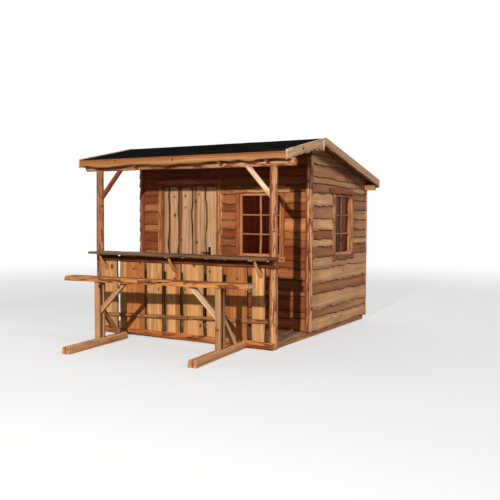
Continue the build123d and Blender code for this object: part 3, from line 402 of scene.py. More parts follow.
def joined(x, y, z):
    return add(x.tree, "ShaderNodeCombineXYZ", {0: x, 1: y, 2: z})


def bump(height, strength, rise):
    return add(height.tree, "ShaderNodeBump", {"Strength": strength, "Distance": rise, "Height": height})


def srgb(red, green, blue):
    """A colour as a paint chart gives it, 0 to 255, turned into the linear light that Blender reckons in."""
    values = np.array([red, green, blue]) / 255.0
    linear = np.where(values <= 0.04045, values / 12.92, ((values + 0.055) / 1.055) ** 2.4)
    return (*[float(v) for v in linear], 1.0)


def group(name, inputs, outputs):
    """An empty node group with named sockets of each kind."""
    tree = bpy.data.node_groups.new(name, "ShaderNodeTree")
    for way, sockets in (("INPUT", inputs), ("OUTPUT", outputs)):
        for kind, labels in sockets.items():
            for label in labels.split():
                tree.interface.new_socket(label, in_out=way, socket_type=f"NodeSocket{kind}")
    given = {socket.name: Value(socket) for socket in tree.nodes.new("NodeGroupInput").outputs}
    return tree, given, tree.nodes.new("NodeGroupOutput")


def material(name):
    """A new material's tree, its Principled shader, and the object's own coordinates."""
    made = bpy.data.materials.new(name)
    made.use_nodes = True
    FINISHES[name] = made
    tree = made.node_tree
    return tree, tree.nodes["Principled BSDF"], add(tree, "ShaderNodeTexCoord", out=3)


def dress(finish, *nodes):
    """Give a finish to nodes that stay as the frame has them."""
    for node in nodes:
        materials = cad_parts[node].data.materials
        materials.clear()
        materials.append(FINISHES[finish])


print("a pale pine in linear light:", [round(v, 3) for v in srgb(214, 170, 120)[:3]])

# %% [markdown]
# ## Wood
#
# Larch has a red-brown heart and pale sapwood outside it, fine streaks along the grain, growth
# rings that the saw cuts into long arches, and knots. A picture of wood would repeat and would not
# follow the boards. Here the wood is worked out in the board's own axes instead, as if each board
# was cut from its own log: the streaks are noise stretched along the grain, the rings are sines of
# the distance from the log's middle, and the knots sit in the cells of a Voronoi pattern.


# %% The wood group
def wood_group():
    tree, given, result = group(
        "wood_figure",
        {"Vector": "Grain Board", "Float": "Bark Spots Knots Cracks Grey Patches", "Color": "Sap Heart Dark Edge"},
        {"Color": "Color", "Float": "Height Roughness"})
    grain, bark, dark, spots = (given[key] for key in ("Grain", "Bark", "Dark", "Spots"))
    _, across, deep = parts(grain)
    centre, half, tone = parts(given["Board"])

    # heart and sapwood
    drift = noise(grain, (1.1, 3.0, 3.0)) - 0.5
    from_heart = across + drift * 0.07 - centre
    striped = step(abs(from_heart) - half, 0.012, -0.012)
    even = (centre - 1.0).math("ADD", drift * 0.9, clamp=True)
    heart = add(tree, "ShaderNodeMix", {0: centre > 0.5, 2: striped, 3: even}, data_type="FLOAT")

    # knots: one in each cell that draws a low number
    cells = stretch(grain, (2.4, 6.5, 0.0))
    cell = new_node(tree, "ShaderNodeTexVoronoi", {"Vector": cells, "Scale": 1.0}, voronoi_dimensions="2D").outputs
    size, chance, _ = parts(Value(cell["Color"]))
    there = chance < given["Knots"]
    near = distance(cells, Value(cell["Position"]), (1 / 2.4, 1 / 6.5, 0.0)) / step(size, 0.0, 1.0, (0.005, 0.017))
    knot = (step(near, 1.05, 0.75) * there).most(step(spots, 0.45, 0.75))
    halo = (step(near, 2.3, 0.9) * there).most(step(spots, 0.0, 0.5))

    # streaks, growth rings, and cracks: a dark line of painted shade inside each crack
    fine = noise(grain, (2.2, 95.0, 95.0), 4.0, 0.6)
    band = noise(grain, (0.8, 19.0, 19.0), 3.0, 0.55)
    depth = deep + drift * 0.05
    radius = (from_heart * from_heart + depth * (depth * 0.02)).math("SQRT") + band * 0.012 + halo * 0.008
    ring = step((radius * 900.0).math("SINE"), -0.2, 1.0)
    line = step(abs(noise(grain, (1.3, 24.0, 24.0), 1.0) - 0.5), 0.022, 0.004)
    crack = line * step(noise(grain, (1.6, 5.0, 5.0)), 0.42, 0.62) * given["Cracks"]

    # colour, from the wood itself out to bark and painted edge shade, weather, knots and cracks
    colour = mix(heart, given["Sap"], given["Heart"])
    colour = mix(halo * 0.45, colour, given["Heart"])
    light = band * 1.5 + fine * 1.1 + (tone * 0.5 - 0.57)
    colour = mix(1.0, colour, add(tree, "ShaderNodeCombineColor", {0: light, 1: light, 2: light}), "MULTIPLY")
    colour = mix(ring * 0.22, colour, dark)
    patch = step(noise(grain, (4.5, 26.0, 26.0), 4.0, 0.6), 0.50, 0.57) * given["Patches"]
    # the edge colour: bark, and on lapped and gapped boards painted shade
    edge = bark.math("MULTIPLY", step(fine, 0.25, 0.60, (0.5, 1.0)), clamp=True)
    colour = mix((edge * (given["Patches"] < 0.01)).most(patch), colour, given["Edge"])
    dull = step(noise(grain, (3.0, 9.0, 9.0), 3.0), 0.30, 0.70) * given["Grey"]
    colour = mix(dull, colour, srgb(132, 116, 98))
    # knots are darker wood; the cracks and the deep split of a log are painted shade
    for share in (knot * 0.86, crack, step(bark, 1.25, 2.2)):
        colour = mix(share, colour, dark)

    fill(result, {"Color": colour, "Height": fine * 0.5 + ring * -0.12 + crack * -1.2 + knot * 0.25,
                  "Roughness": fine * 0.25 + 0.52})
    return tree


def spot_group():
    """One knot at a known place on an upright face: 1 in its middle, 0 at twice its radius."""
    tree, given, result = group("knot_spot", {"Vector": "Place Centre", "Float": "Radius"}, {"Float": "Mask"})
    share = distance(given["Place"], given["Centre"], (1.0, 0.0, 0.72)) / given["Radius"]
    fill(result, {"Mask": (share * -0.5).math("ADD", 1.0, clamp=True)})
    return tree


WOOD, SPOT = wood_group(), spot_group()
print("wood group nodes:", len(WOOD.nodes))

# %% [markdown]
# Each finish places that one group with its own colours. Pieces made here bring their own `grain`,
# `board` and `bark`. A node kept from the frame has none of these, so there the grain is read from
# Object coordinates, turned so that it runs along the timber. The wall frames are the hardest:
# their studs stand upright and the boards behind them lie level, in one solid. The finish tells
# them apart by depth. The larger knots of the door and the bar stand where the real ones do.

# %% The woods
DARK = (64, 30, 18)
# name, sapwood, heartwood, dark, edge (None: as the sapwood; for wall and bar boards partly bark
# and partly painted shade), then the shares of knots, cracks, grey and bark patches, and for a node
# kept from the frame the way its timber runs
WOODS = [
    # front wall boards: the dark edge colour is bark, and painted shade under each lap
    ("wall_wood", (190, 122, 70), (128, 60, 30), DARK, (70, 34, 20), 0.4),
    # side and rear wall boards: the dark edge colour is bark, and painted shade under each lap
    ("side_wood", (224, 172, 122), (156, 90, 56), DARK, (52, 30, 20), 0.45, 0.0, 0.08),
    ("log_wood", (206, 148, 102), (160, 96, 58), (84, 40, 24), (132, 68, 40), 0.6, 0.9, 0.0, 0.9),
    ("red_log_wood", (182, 120, 78), (140, 74, 44), (70, 30, 18), (112, 54, 34), 0.4, 0.8, 0.0, 0.8),
    # a paler copy of the log wood for the right brace: painted light of full sun
    ("pale_log_wood", (240, 202, 160), (210, 158, 112), (92, 48, 30), (182, 116, 74), 0.4, 0.8, 0.0, 0.5),
    ("post_wood", (192, 136, 94), (144, 86, 52), (70, 30, 18), (122, 62, 38), 0.5, 0.9, 0.0, 0.9),
    ("door_wood", (208, 162, 118), (166, 104, 70), DARK, (66, 34, 20), 0.12, 0.45),
    ("ledge_wood", (206, 150, 98), (170, 100, 60), DARK, None, 0.3),
    ("trim_wood", (208, 146, 92), (172, 100, 56), (76, 34, 20), (134, 68, 40), 0.45, 0.7, 0.0, 0.75),
    ("side_trim_wood", (190, 128, 86), (148, 90, 60), (76, 38, 24), (116, 64, 42), 0.45, 0.6, 0.1, 0.8),
    ("sash_wood", (206, 146, 96), (168, 100, 64), DARK, (140, 78, 46), 0.2, 0.0, 0.0, 0.3),
    ("fascia_wood", (178, 124, 76), (158, 96, 54), DARK, (66, 33, 20), 0.6),
    ("barge_wood", (222, 176, 134), (186, 124, 82), DARK, (140, 92, 60), 0.5, 0.4, 0.25),
    # roof boards: darker than the other sawn wood, painted shade for the underside of the roof
    ("roof_wood", (164, 108, 66), (124, 68, 38), DARK, None, 0.4),
    # bar boards: the dark edge colour is bark, and painted shade in the gaps between them
    ("bar_wood", (208, 152, 94), (184, 114, 60), DARK, (56, 26, 15), 0.3, 0.45),
    ("weathered_wood", (110, 76, 48), (82, 52, 34), (34, 22, 18), (118, 86, 56), 0.4, 0.9, 0.2),
    ("rail_wood", (188, 118, 68), (134, 72, 42), (50, 22, 16), (88, 42, 28), 0.4, 0.9, 0.0, 0.7),
    ("sill_wood", (222, 154, 88), (194, 116, 60), (60, 26, 16), (104, 48, 28), 0.4, 1.0, 0.0, 0.85),
    ("foot_rail_wood", (214, 158, 104), (166, 110, 70), (40, 24, 18), (80, 46, 30), 0.4, 0.8, 0.0, 0.8),
    ("horn_wood", (216, 156, 96), (176, 104, 60), DARK, (206, 146, 90), 0.1, 0.3),
    ("bench_wood", (190, 124, 66), (148, 78, 38), (50, 20, 12), (100, 46, 26), 0.5, 1.0, 0.0, 0.9),
    ("bench_sawn", (194, 148, 102), (154, 94, 58), DARK, (100, 48, 29), 0.3, 0.6),
    ("bench_pale_wood", (232, 192, 150), (190, 136, 92), DARK, (130, 78, 50), 0.3, 0.5),
    ("bench_foot_wood", (208, 154, 108), (158, 94, 62), (64, 30, 20), (110, 58, 38), 0.4, 1.0),
    ("sawn_end_wood", (190, 168, 142), (160, 132, 104), DARK, None, 0.1, 0.0, 0.5),
    ("deck_wood", (164, 126, 98), (138, 98, 74), (60, 44, 36), (100, 74, 58), 0.35, 0.3, 0.15),
    ("room_floor_wood", (206, 156, 104), (176, 116, 72), DARK, None, 0.35),
    ("timber_lengthwise", (216, 160, 106), (186, 120, 74), DARK, None, 0.4, 0.0, 0.0, 0.0, "x"),
    ("timber_front_to_rear", (200, 144, 94), (168, 104, 64), DARK, None, 0.4, 0.0, 0.0, 0.0, "y"),
    # rafters: darker than the other sawn timbers, painted shade under the roof
    ("rafter_wood", (140, 92, 58), (104, 62, 38), DARK, None, 0.4, 0.0, 0.0, 0.0, "y"),
    ("wall_frame_wood", (210, 154, 100), (176, 108, 66), DARK, None, 0.35, 0.0, 0.0, 0.0, "wall")]
# x, z and radius of knots at known places
SPOTS = {
    "door_wood": [(-0.764, 1.605, 0.021), (-0.584, 1.885, 0.016), (-0.655, 1.247, 0.016), (-0.400, 1.800, 0.020),
                  (-0.385, 1.220, 0.022), (-0.345, 1.905, 0.013)],
    "bar_wood": [(-1.088, 0.905, 0.030), (-0.605, 0.985, 0.026), (0.262, 0.975, 0.022), (0.500, 0.905, 0.014),
                 (0.360, 0.215, 0.020), (-0.300, 0.640, 0.012), (0.640, 0.700, 0.012), (0.985, 0.560, 0.014)]}
STUD_SIDE, STUD_FRONT, STUD_REAR = 1.3770, -0.0105, 1.9940


def timber_grain(place, along):
    """Object coordinates in the order along, across, deep. In a wall, boards lie outside the studs."""
    x, y, z = parts(place)
    timber = joined(*{"x": (x, z, y), "y": (y, x, z), "wall": (z, x, y)}[along])
    if along != "wall":
        return timber
    skin = (abs(x) > STUD_SIDE).most((y < STUD_FRONT).most(y > STUD_REAR))
    return add(place.tree, "ShaderNodeMix", {0: skin, 4: timber, 5: joined(x + y, z, 0.0)}, out=1, data_type="VECTOR")


def wood(name, sap, heart, dark, edge, knots, cracks=0.0, grey=0.0, patches=0.0, along=None):
    """A material of the wood group. along is None for a piece that brings its own grain."""
    tree, shader, place = material(name)
    feeds = {"Sap": srgb(*sap), "Heart": srgb(*heart), "Dark": srgb(*dark), "Edge": srgb(*(edge or sap)),
             "Knots": knots, "Cracks": cracks, "Grey": grey, "Patches": patches}
    if along:
        feeds["Grain"], feeds["Board"] = timber_grain(place, along), KINDS["o"]
    else:
        for key, out in (("Grain", 1), ("Board", 1), ("Bark", 2)):
            feeds[key] = add(tree, "ShaderNodeAttribute", out=out, attribute_name=key.lower())
    for x, z, radius in SPOTS.get(name, ()):
        spot = add(tree, "ShaderNodeGroup", {"Place": place, "Centre": (x, 0.0, z), "Radius": radius}, node_tree=SPOT)
        feeds["Spots"] = feeds["Spots"].most(spot) if "Spots" in feeds else spot
    figure = new_node(tree, "ShaderNodeGroup", feeds, node_tree=WOOD).outputs
    fill(shader, {"Specular IOR Level": 0.12, "Base Color": Value(figure["Color"]),
                  "Roughness": Value(figure["Roughness"]), "Normal": bump(Value(figure["Height"]), 0.7, 0.0012)})


for row in WOODS:
    wood(*row)
print("woods:", len(WOODS))

# %% [markdown]
# ## Felt, iron and glass
#
# The felt is black, with mineral grains. The ironwork is forged and painted black: dull, with
# shallow hammer marks. The panes are given the brown-red of the dim room behind them, painted shade in the glass
# itself.


# %% Felt, iron and glass
def felt_finish():
    """Grains of two sizes lift the surface and fleck it with grey."""
    _, shader, place = material("roofing_felt_black")
    grit = noise(place, (900.0, 900.0, 900.0), 2.0, 0.7)
    cloud = noise(place, (1.6, 6.4, 6.4), 3.0)
    shade = step(cloud * 0.6 + grit * 0.4, 0.30, 0.80)
    fill(shader, {"Base Color": mix(shade, srgb(14, 14, 14), srgb(36, 35, 35)), "Specular IOR Level": 0.0,
                  "Roughness": step(cloud, 0.3, 0.7, (0.86, 0.96)), "Normal": bump(grit, 0.5, 0.001)})


def iron_finish():
    """Paint worn grey in specks, over hammer marks."""
    _, shader, place = material("black_iron_paint")
    marks, worn = noise(place, (90.0, 90.0, 90.0)), noise(place, (420.0, 420.0, 420.0), 3.0)
    fill(shader, {"Base Color": mix(step(worn, 0.45, 0.85), srgb(16, 12, 11), srgb(46, 38, 33)), "Metallic": 0.6,
                  "Roughness": step(marks, 0.3, 0.7, (0.50, 0.68)), "Normal": bump(marks, 0.5, 0.0008)})


def glass_finish(name, clear, thin, thick):
    """Old glass that pulls into upright streaks. A little light stays in the pane, and its brown-red there is painted
    shade: the dim room behind, put into the glass.
    """
    _, shader, place = material(name)
    streak = noise(place, (26.0, 26.0, 1.2), 3.0)
    fill(shader, {"Base Color": mix(step(streak, 0.36, 0.64), srgb(*thick), srgb(*thin)),
                  "Roughness": step(streak, 0.35, 0.75, (0.02, 0.07)), "Transmission Weight": clear, "IOR": 1.12,
                  "Metallic": 0.0, "Specular IOR Level": 0.06})


felt_finish()
iron_finish()
# the diffuse brown-red of each pane is painted shade of the room behind
glass_finish("front_window_pane", 0.84, (152, 58, 30), (118, 40, 20))
glass_finish("side_window_pane", 0.72, (208, 126, 90), (110, 48, 32))
dress("timber_lengthwise", "ridge_beam", "rear_wall_plate")
dress("timber_front_to_rear", "floor_bearers")
# the rafters' darker wood is painted shade under the roof
dress("rafter_wood", "front_rafters", "rear_rafters")
dress("wall_frame_wood", "front_wall_left", "front_wall_over_door", "front_wall_right", "right_wall", "left_wall",
      "back_wall")
dress("black_iron_paint", "door_hinges", "hinge_pintles", "lock_plates", "door_lever")
dress("front_window_pane", "front_window_glass")
dress("side_window_pane", "right_window_glass")
print("finishes in all:", len(FINISHES))

# %% [markdown]
# ## The walls
#
# The walls are clad with waney boards that lap over each other, each one's natural lower edge
# standing out over the top of the board below. That edge and its shadow are what the eye sees
# first, so each board is a solid plank of its own, thin at the top and thick at its foot, on the
# plain wall of the frame. Its foot is also painted dark, partly as bark and partly as painted shade
# under the lap. The lower edges follow a list of heights for each stretch of wall.
# Where the photograph shows the courses, the heights and the kinds of wood follow it, and
# elsewhere they are drawn by a seed.

# %% Lapped boards
SKIN = 0.033
LAP = 0.034
FOOT_THICK, HEAD_THICK = 0.026, 0.003
LEAST_HEIGHT = 0.012
COURSE_PITCH = 0.26


def lapped(origin, along, out, u0, u1, heights, kinds, seed, top, reach=0.015):
    """One board for each height: its foot follows bark_line, its head goes under the next board.
    A height may be a pair, for a course that climbs. top is the height where the wall ends, a
    number, or a function of s for a sloping gable. There a board is only as long as the stretch in
    which the slope leaves it some height."""
    length = u1 - u0
    every = np.linspace(0, length, 400)
    limit = top if callable(top) else lambda s: np.full_like(s, top)

    def course(foot, s):
        first, last = foot if isinstance(foot, tuple) else (foot, foot)
        return first + (last - first) * s / length

    made = []
    for i, (foot, over) in enumerate(zip(heights, [*heights[1:], None])):
        number = seed + 13 * i
        free = every[limit(every) - course(foot, every) > reach + LEAST_HEIGHT]
        begin, end = free.min(), free.max()

        def low(s, foot=foot, number=number, begin=begin):
            return course(foot, s + begin) + bark_line(s + begin, number, reach, COURSE_PITCH)

        def high(s, over=over, begin=begin):
            head = limit(s + begin)
            return head if over is None else np.minimum(course(over, s + begin) + LAP, head)

        # the foot's edge takes the dark edge colour: bark, and painted shade under the lap
        made.append(plank(origin + along * (u0 + begin), along, Z, out, end - begin, low, high,
                          (FOOT_THICK, HEAD_THICK), number, kinds[i % len(kinds)], bevel=(0.012, SAWN),
                          bark=(1, 0), pitch=0.016, back=-0.003))
    return made


def clad(wall, finish, slot, origin, along, out, *stretches):
    """Boards on each stretch of a wall: from, to, heights, kinds, seed and top."""
    boards = [board for stretch in stretches for board in lapped(origin, along, out, *stretch)]
    build(f"{wall}_boards", boards, finish, slot)


def drawn_heights(seed, first, last):
    """Heights of courses 105 to 195 mm apart."""
    steps = np.random.default_rng(seed).uniform(0.105, 0.195, 40)
    heights = first + np.concatenate([[0], np.cumsum(steps)])
    return [float(h) for h in heights[heights < last - 0.05]]


# %% The front wall
UNDER = 0.014
HEAD_LINE = 2.012
TUCKED = HEAD_LINE + 0.02
FRONT_LEFT, FRONT_RIGHT = -1.392, 1.398
GLASS_TO_BOARDS = 0.105 - UNDER
case_low, case_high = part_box("door_casing")
glass_low, glass_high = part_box("front_window_glass")
door_side = case_high.x - UNDER
clad("front_wall", "wall_wood", "wall_boards", -SKIN * Y, X, -Y,
     (FRONT_LEFT, case_low.x + UNDER,
      [0.085, 0.225, 0.36, 0.49, 0.635, 0.79, 0.93, 1.08, 1.218, 1.360, 1.472, 1.636, 1.770, 1.889],
      "orobrtorrtborr", 100, TUCKED),
     (door_side, glass_low.x - GLASS_TO_BOARDS, [1.040, 1.180, 1.281, 1.403, 1.541, 1.665, 1.761, 1.889],
      "rbrtorto", 300, TUCKED),
     (glass_high.x + GLASS_TO_BOARDS, FRONT_RIGHT, [1.005, 1.181, 1.280, 1.393, 1.560, 1.659, 1.770, 1.922],
      "rotprotb", 500, TUCKED),
     (door_side, FRONT_RIGHT, [0.095, 0.239, 0.332, 0.534, 0.618, 0.760, 0.904], "torobor", 700, 1.05),
     (FRONT_LEFT, FRONT_RIGHT, [HEAD_LINE, 2.130, 2.262, 2.390], "bRbr", 800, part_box("front_wall_left")[1].z))

# %% The other walls
WALL_X = 1.400
RIDGE = 2.598 * Z
TAN_PITCH, COS_PITCH = math.tan(math.radians(12.2)), math.cos(math.radians(12.2))
UNDER_BOARDS = 0.022 / COS_PITCH + 0.004
WALL_FRONT, WALL_REAR = -0.030, 2.014


def under_roof(y):
    """Height of the roof boards' underside at depth y."""
    return RIDGE[2] - TAN_PITCH * np.abs(y) - UNDER_BOARDS


def gable(s):
    return under_roof(s + WALL_FRONT)


glass_low, glass_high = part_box("right_window_glass")
near_side, far_side = glass_low.y - GLASS_TO_BOARDS, glass_high.y + GLASS_TO_BOARDS
clad("right_wall", "side_wood", "side_boards", WALL_X * X, Y, X,
     (WALL_FRONT, WALL_REAR, [0.070, 0.235, 0.344, 0.548, 0.695, 0.892], "tbgrtt", 1100, 1.080),
     (WALL_FRONT, near_side, [1.042, 1.179, 1.284, 1.396, 1.563, 1.730, 1.905], "rprpbpb", 1300, 2.05, 0.017),
     (far_side, WALL_REAR, [1.038, 1.186, 1.272, 1.404, 1.544, 1.676, 1.823, 1.923], "rtboobrt", 1500, 2.04),
     (near_side - 0.03, far_side + 0.03, [1.925], "r", 1650, 2.04),
     (WALL_FRONT, WALL_REAR, [(2.024, 2.000), (2.107, 2.090), 2.271, 2.400], "totp", 1700, gable))
clad("left_wall", "side_wood", "side_boards", -WALL_X * X, Y, -X,
     (WALL_FRONT, WALL_REAR, drawn_heights(41, 0.070, 2.50), "otrbgrdodrtro", 1900, gable))
rear_top = float(under_roof(2.040)) - 0.02
clad("rear_wall", "side_wood", "wall_boards", 2.017 * Y, X, Y,
     (-1.398, 1.398, drawn_heights(57, 0.070, rear_top), "rodrprogdrodp", 2100, rear_top))

# %% [markdown]
# ## The door
#
# Five boards stand side by side, and each joint follows the natural line of the boards. The joint
# is one curve, used twice: as the right edge of one board and the left edge of the next. The
# first board is pale, the next three are half heart and half sapwood, and the last is the palest.

# %% The door
door_low, door_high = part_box("door_leaf")
DOOR_JOINTS = [door_low.x, -0.878, -0.702, -0.467, -0.222, door_high.x]
DOOR_GAP = 0.004
DOOR_KINDS = [(0.0, -0.1, 0.50), (-0.085, 0.026, 0.62), (-0.098, 0.040, 0.50), (-0.055, 0.028, 0.50),
              (0.05, -0.1, 0.98)]
LEDGE_HEIGHTS = (0.300, 1.080, 1.850)


def joint(i, gap):
    """The line between two door boards, as plank takes an edge; straight at the door's own sides."""
    return DOOR_JOINTS[i] + gap, 2400 + 5 * i, 0.0 if i in (0, 5) else 0.014, 0.36


boards = [plank((0, door_high.y, door_low.z), Z, X, -Y, door_high.z - door_low.z, joint(i, DOOR_GAP),
                joint(i + 1, -DOOR_GAP), door_high.y - door_low.y, 2450 + i, kind, bevel=(0.010, 0.010),
                bark=(1, 1), pitch=0.02) for i, kind in enumerate(DOOR_KINDS)]
build("door_planks", boards, "door_wood", "door_boards", "door_leaf", body="door")
low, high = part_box("door_ledges")
ledges = [plank((low.x, low.y, z), X, Z, Y, high.x - low.x, -0.070, 0.070, high.y - low.y, 2480 + i, "oro"[i],
                bevel=EASED) for i, z in enumerate(LEDGE_HEIGHTS)]
build("door_ledge_planks", ledges, "ledge_wood", "door_boards", "door_ledges", body="door")

# %% [markdown]
# ## Round the doorway
#
# Slabs cover the joint between the frame and the wall boards. A slab is the outermost cut of a
# log: flat behind, with the log's own round and bark edges in front. Half a log with a low
# round gives that form.


# %% Casing and frame
def border(corner, along, out, width, height, side, foot, head, depth, seeds, bevel=(SAWN, SAWN)):
    """A frame of four timbers: two uprights, and a foot and a head between them."""
    uprights = [plank(corner + along * u, Z, along, out, height, 0.0, side, depth, seeds[0], bevel=bevel)
                for u in (0.0, width - side)]
    return uprights + [plank(corner + along * side + Z * z, along, Z, out, width - 2 * side, 0.0, tall, depth,
                             seeds[1], bevel=bevel) for z, tall in ((0.0, foot), (height - head, head))]


SLAB_IN, SIDE_SLAB_TOP, HEAD_SLAB = 0.054, 2.034, 2.088
thick = case_high.y - case_low.y
casing = [half_log((x, -SKIN, case_low.z), (x, -SKIN, SIDE_SLAB_TOP), -X, 0.106, thick, seed, kind)
          for x, seed, kind in ((case_low.x + SLAB_IN, 2500, "m"), (case_high.x - SLAB_IN, 2520, "n"))]
casing.append(half_log((case_low.x, -SKIN, HEAD_SLAB), (case_high.x, -SKIN, HEAD_SLAB), Z, 0.096, thick, 2540, "r"))
build("door_casing_slabs", casing, "trim_wood", "door_surround", "door_casing")
low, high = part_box("door_frame")
jambs = border(np.array((low.x, high.y, low.z)), X, -Y, high.x - low.x, high.z - low.z, 0.025, 0.022, 0.025,
               high.y - low.y, (2560, 2570))
build("door_frame_timbers", jambs, "ledge_wood", "door_surround", "door_frame")

# %% [markdown]
# ## The windows
#
# Each window has a plain frame, and across it glazing bars split from a crooked branch, two panes
# wide and three high. The bars wander, and that is their charm. The sides are trimmed with half
# logs, and a slab lies over them and another under them. One function makes a window from its
# place in the wall, and it is called twice.

# %% A window
SASH = 0.035
BAR_DEPTH = 0.024
SLAB_FROM_MIDDLE = 0.3135 + 0.035


def window(side, along, out, wall_face, seed, kinds, finish, near=0.0, head=(0.459, 0.459)):
    """Frame, wandering bars and trims, all measured from the frame's own boxes. near is how much
    wider the first side slab is than the other, head how far the top slab goes to either side."""
    low, high = (np.array(v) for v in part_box(f"{side}_window_frame"))
    (u0, u1), (rear, front) = sorted((low @ along, high @ along)), sorted((low @ out, high @ out))
    z0, z1 = low[2], high[2]
    middle = (u0 + u1) / 2

    def at(depth, u, z):
        return out * depth + along * u + Z * z

    made = border(at(rear, u0, z0), along, out, u1 - u0, z1 - z0, SASH, SASH, SASH, front - rear, (seed, seed + 2),
                  EASED)
    bars = front - BAR_DEPTH
    made.append(half_log(at(bars, middle, z0 + SASH), at(bars, middle, z1 - SASH), -along, 0.032, BAR_DEPTH, seed + 3,
                         rough=0.22, pitch=0.015, sway=0.11))
    for i in (1, 2):
        z = z0 + SASH + (z1 - z0 - 2 * SASH) * i / 3
        made.append(half_log(at(bars, u0 + SASH, z), at(bars, u1 - SASH, z), Z, 0.026, 0.022, seed + 4 + i,
                             rough=0.22, pitch=0.012, sway=0.14))
    build(f"{side}_window_sash", made, "sash_wood", "window_wood", f"{side}_window_frame")
    print(f"{side} window: {u1 - u0:.3f} wide, {z1 - z0:.3f} high, its face at {front:.3f}")
    slabs = []
    for way, more in ((-1, near), (1, 0.0)):
        u = middle + way * SLAB_FROM_MIDDLE + more / 2
        slabs.append(half_log(at(wall_face, u, 1.062), at(wall_face, u, 1.902), -along, 0.068 + more, 0.040,
                              seed + 20 + way, kinds[0], rough=0.16, sway=0.09))
    for foot, top, reach, number in ((1.908, 1.984, head, 30), (0.973, 1.057, (0.392, 0.392), 40)):
        number += seed
        slabs.append(plank(at(wall_face, middle - reach[0], 0), along, Z, out, sum(reach),
                           (foot, number, 0.012, 0.22), (top, number + 4, 0.012, 0.22), 0.036, number, kinds[1],
                           bevel=(0.012, 0.012), bark=(0.8, 0.8), pitch=0.016))
    build(f"{side}_window_slabs", slabs, finish, "window_wood", f"{side}_window_trim")


window("front", X, -Y, SKIN, 2600, ("s", "t"), "trim_wood")
window("right", Y, X, WALL_X, 2700, ("m", "r"), "side_trim_wood", near=0.055, head=(0.520, 0.390))

# %% [markdown]
# ## Corner logs and strips
#
# The right front corner is closed by a log that has split as it dried, so that two pale strips
# stand either side of a dark line, a groove cut into the log and painted dark as its shade. Inside
# the left corner stands half a log. The rear corners only have a sawn strip over the ends of the boards.

# %% Corners
low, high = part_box("front_corner_posts")
split_log = log((1.394, -0.036, low.z), (1.394, -0.036, high.z), (0.053, 0.050), 2803, "m", rough=0.06, knots=8,
                cracks=3, split=math.radians(-66))
build("right_corner_log", [split_log], "log_wood", "round_logs", "front_corner_posts")
left_corner = half_log((-1.3445, -SKIN, low.z), (-1.3445, -SKIN, high.z), -X, 0.095, 0.0475, 2820, "m", rough=0.10)
build("left_corner_log", [left_corner], "red_log_wood", "round_logs")
low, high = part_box("rear_corner_boards")
strips = [plank((way * WALL_X, 1.985, low.z), Z, Y, way * X, high.z - low.z, 0.0, 0.032, 0.026, 2830 + way, "p")
          for way in (-1, 1)]
build("rear_corner_strips", strips, "sash_wood", "sawn_timber", "rear_corner_boards")

# %% [markdown]
# ## The porch logs
#
# Two posts carry a long beam, and two short logs brace them. They are peeled trunks: pale, with
# orange streaks where the inner bark stayed, a collar at every branch and fine drying cracks.

# %% Posts, beam and braces
POST_X, POST_Y = 1.358, -0.960
for side, way, seed, rise, finish in (("right", 1, 2903, 0.018, "post_wood"),
                                      ("left", -1, 2947, 0.030, "red_log_wood")):
    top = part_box(f"{side}_porch_post")[1].z + rise
    post = log((way * POST_X, POST_Y, 0.0), (way * POST_X, POST_Y, top), (0.056, 0.048), seed, "m", rough=0.045,
               knots=9, cracks=3, bend=0.005)
    build(f"{side}_post_log", [post], finish, "round_logs", f"{side}_porch_post")
low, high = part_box("porch_beam")
beam_z = (low.z + high.z) / 2
beam = log((low.x + 0.001, POST_Y, beam_z + 0.024), (high.x - 0.001, POST_Y, beam_z + 0.006), (0.047, 0.049), 3001,
           "n", side=Y, rough=0.04, bend=0.006)
build("beam_log", [beam], "log_wood", "round_logs", "porch_beam")
# the right brace takes the paler log wood, painted light of full sun; the left one the red log wood
for side, way, seed, kind, finish, *stands_for in (("right", 1, 3055, "p", "pale_log_wood", "porch_braces"),
                                                   ("left", -1, 3071, "m", "red_log_wood")):
    short_log = log((way * POST_X, POST_Y, beam_z - 0.424), (way * (POST_X - 0.382), POST_Y, beam_z),
                    (0.033, 0.031), seed, kind, side=Y, rough=0.05, knots=4)
    build(f"{side}_brace_log", [short_log], finish, "round_logs", *stands_for)

# %% [markdown]
# ## The roof
#
# The roof is a sheet of boards on rafters, covered with black felt. At the eaves hangs a fascia
# whose lower edge is still the bark's line, and up each gable goes a barge board, strongly
# scalloped at the front. The felt comes in strips a metre wide that lap downhill.

# %% Fascia and barge boards
ROOF_X, BARGE_X = 1.610, 1.588
EAVES = {-1: 1.110, 1: 2.055}
for side, out, face, seed, reach in (("front", -Y, 1, 3107, 0.019), ("rear", Y, 0, 3160, 0.007)):
    box = low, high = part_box(f"{side}_fascia")
    board = plank((low.x, box[face].y, 0), X, Z, out, high.x - low.x, (low.z + 0.007, seed, reach, 0.44),
                  high.z - 0.006, high.y - low.y, seed, "n", bevel=(0.008, SAWN), bark=(0.9, 0), pitch=0.02)
    build(f"{side}_fascia_board", [board], "fascia_wood", "roof_edge_boards", f"{side}_fascia")
for side, way in (("right", 1), ("left", -1)):
    pair = [plank(way * BARGE_X * X + RIDGE, end * Y - TAN_PITCH * Z, Z, way * X, EAVES[end],
                  (-depth, seed, reach, wave), 0.012, ROOF_X - BARGE_X, seed, kind, bevel=(0.009, SAWN),
                  bark=(0.9, 0), pitch=0.012)
            for end, depth, reach, wave, seed, kind in ((-1, 0.116, 0.030, 0.19, 3200, "p"),
                                                        (1, 0.104, 0.007, 0.3, 3240, "t"))]
    build(f"{side}_barge_planks", pair, "barge_wood", "roof_edge_boards", f"{side}_barge_boards")
low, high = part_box("barge_peak_strip")
strip = plank((low.x, (low.y + high.y) / 2, low.z), Z, Y, X, high.z - low.z, -0.011, 0.011, 0.010, 3290, "p")
build("peak_strip", [strip], "barge_wood", "roof_edge_boards", "barge_peak_strip")

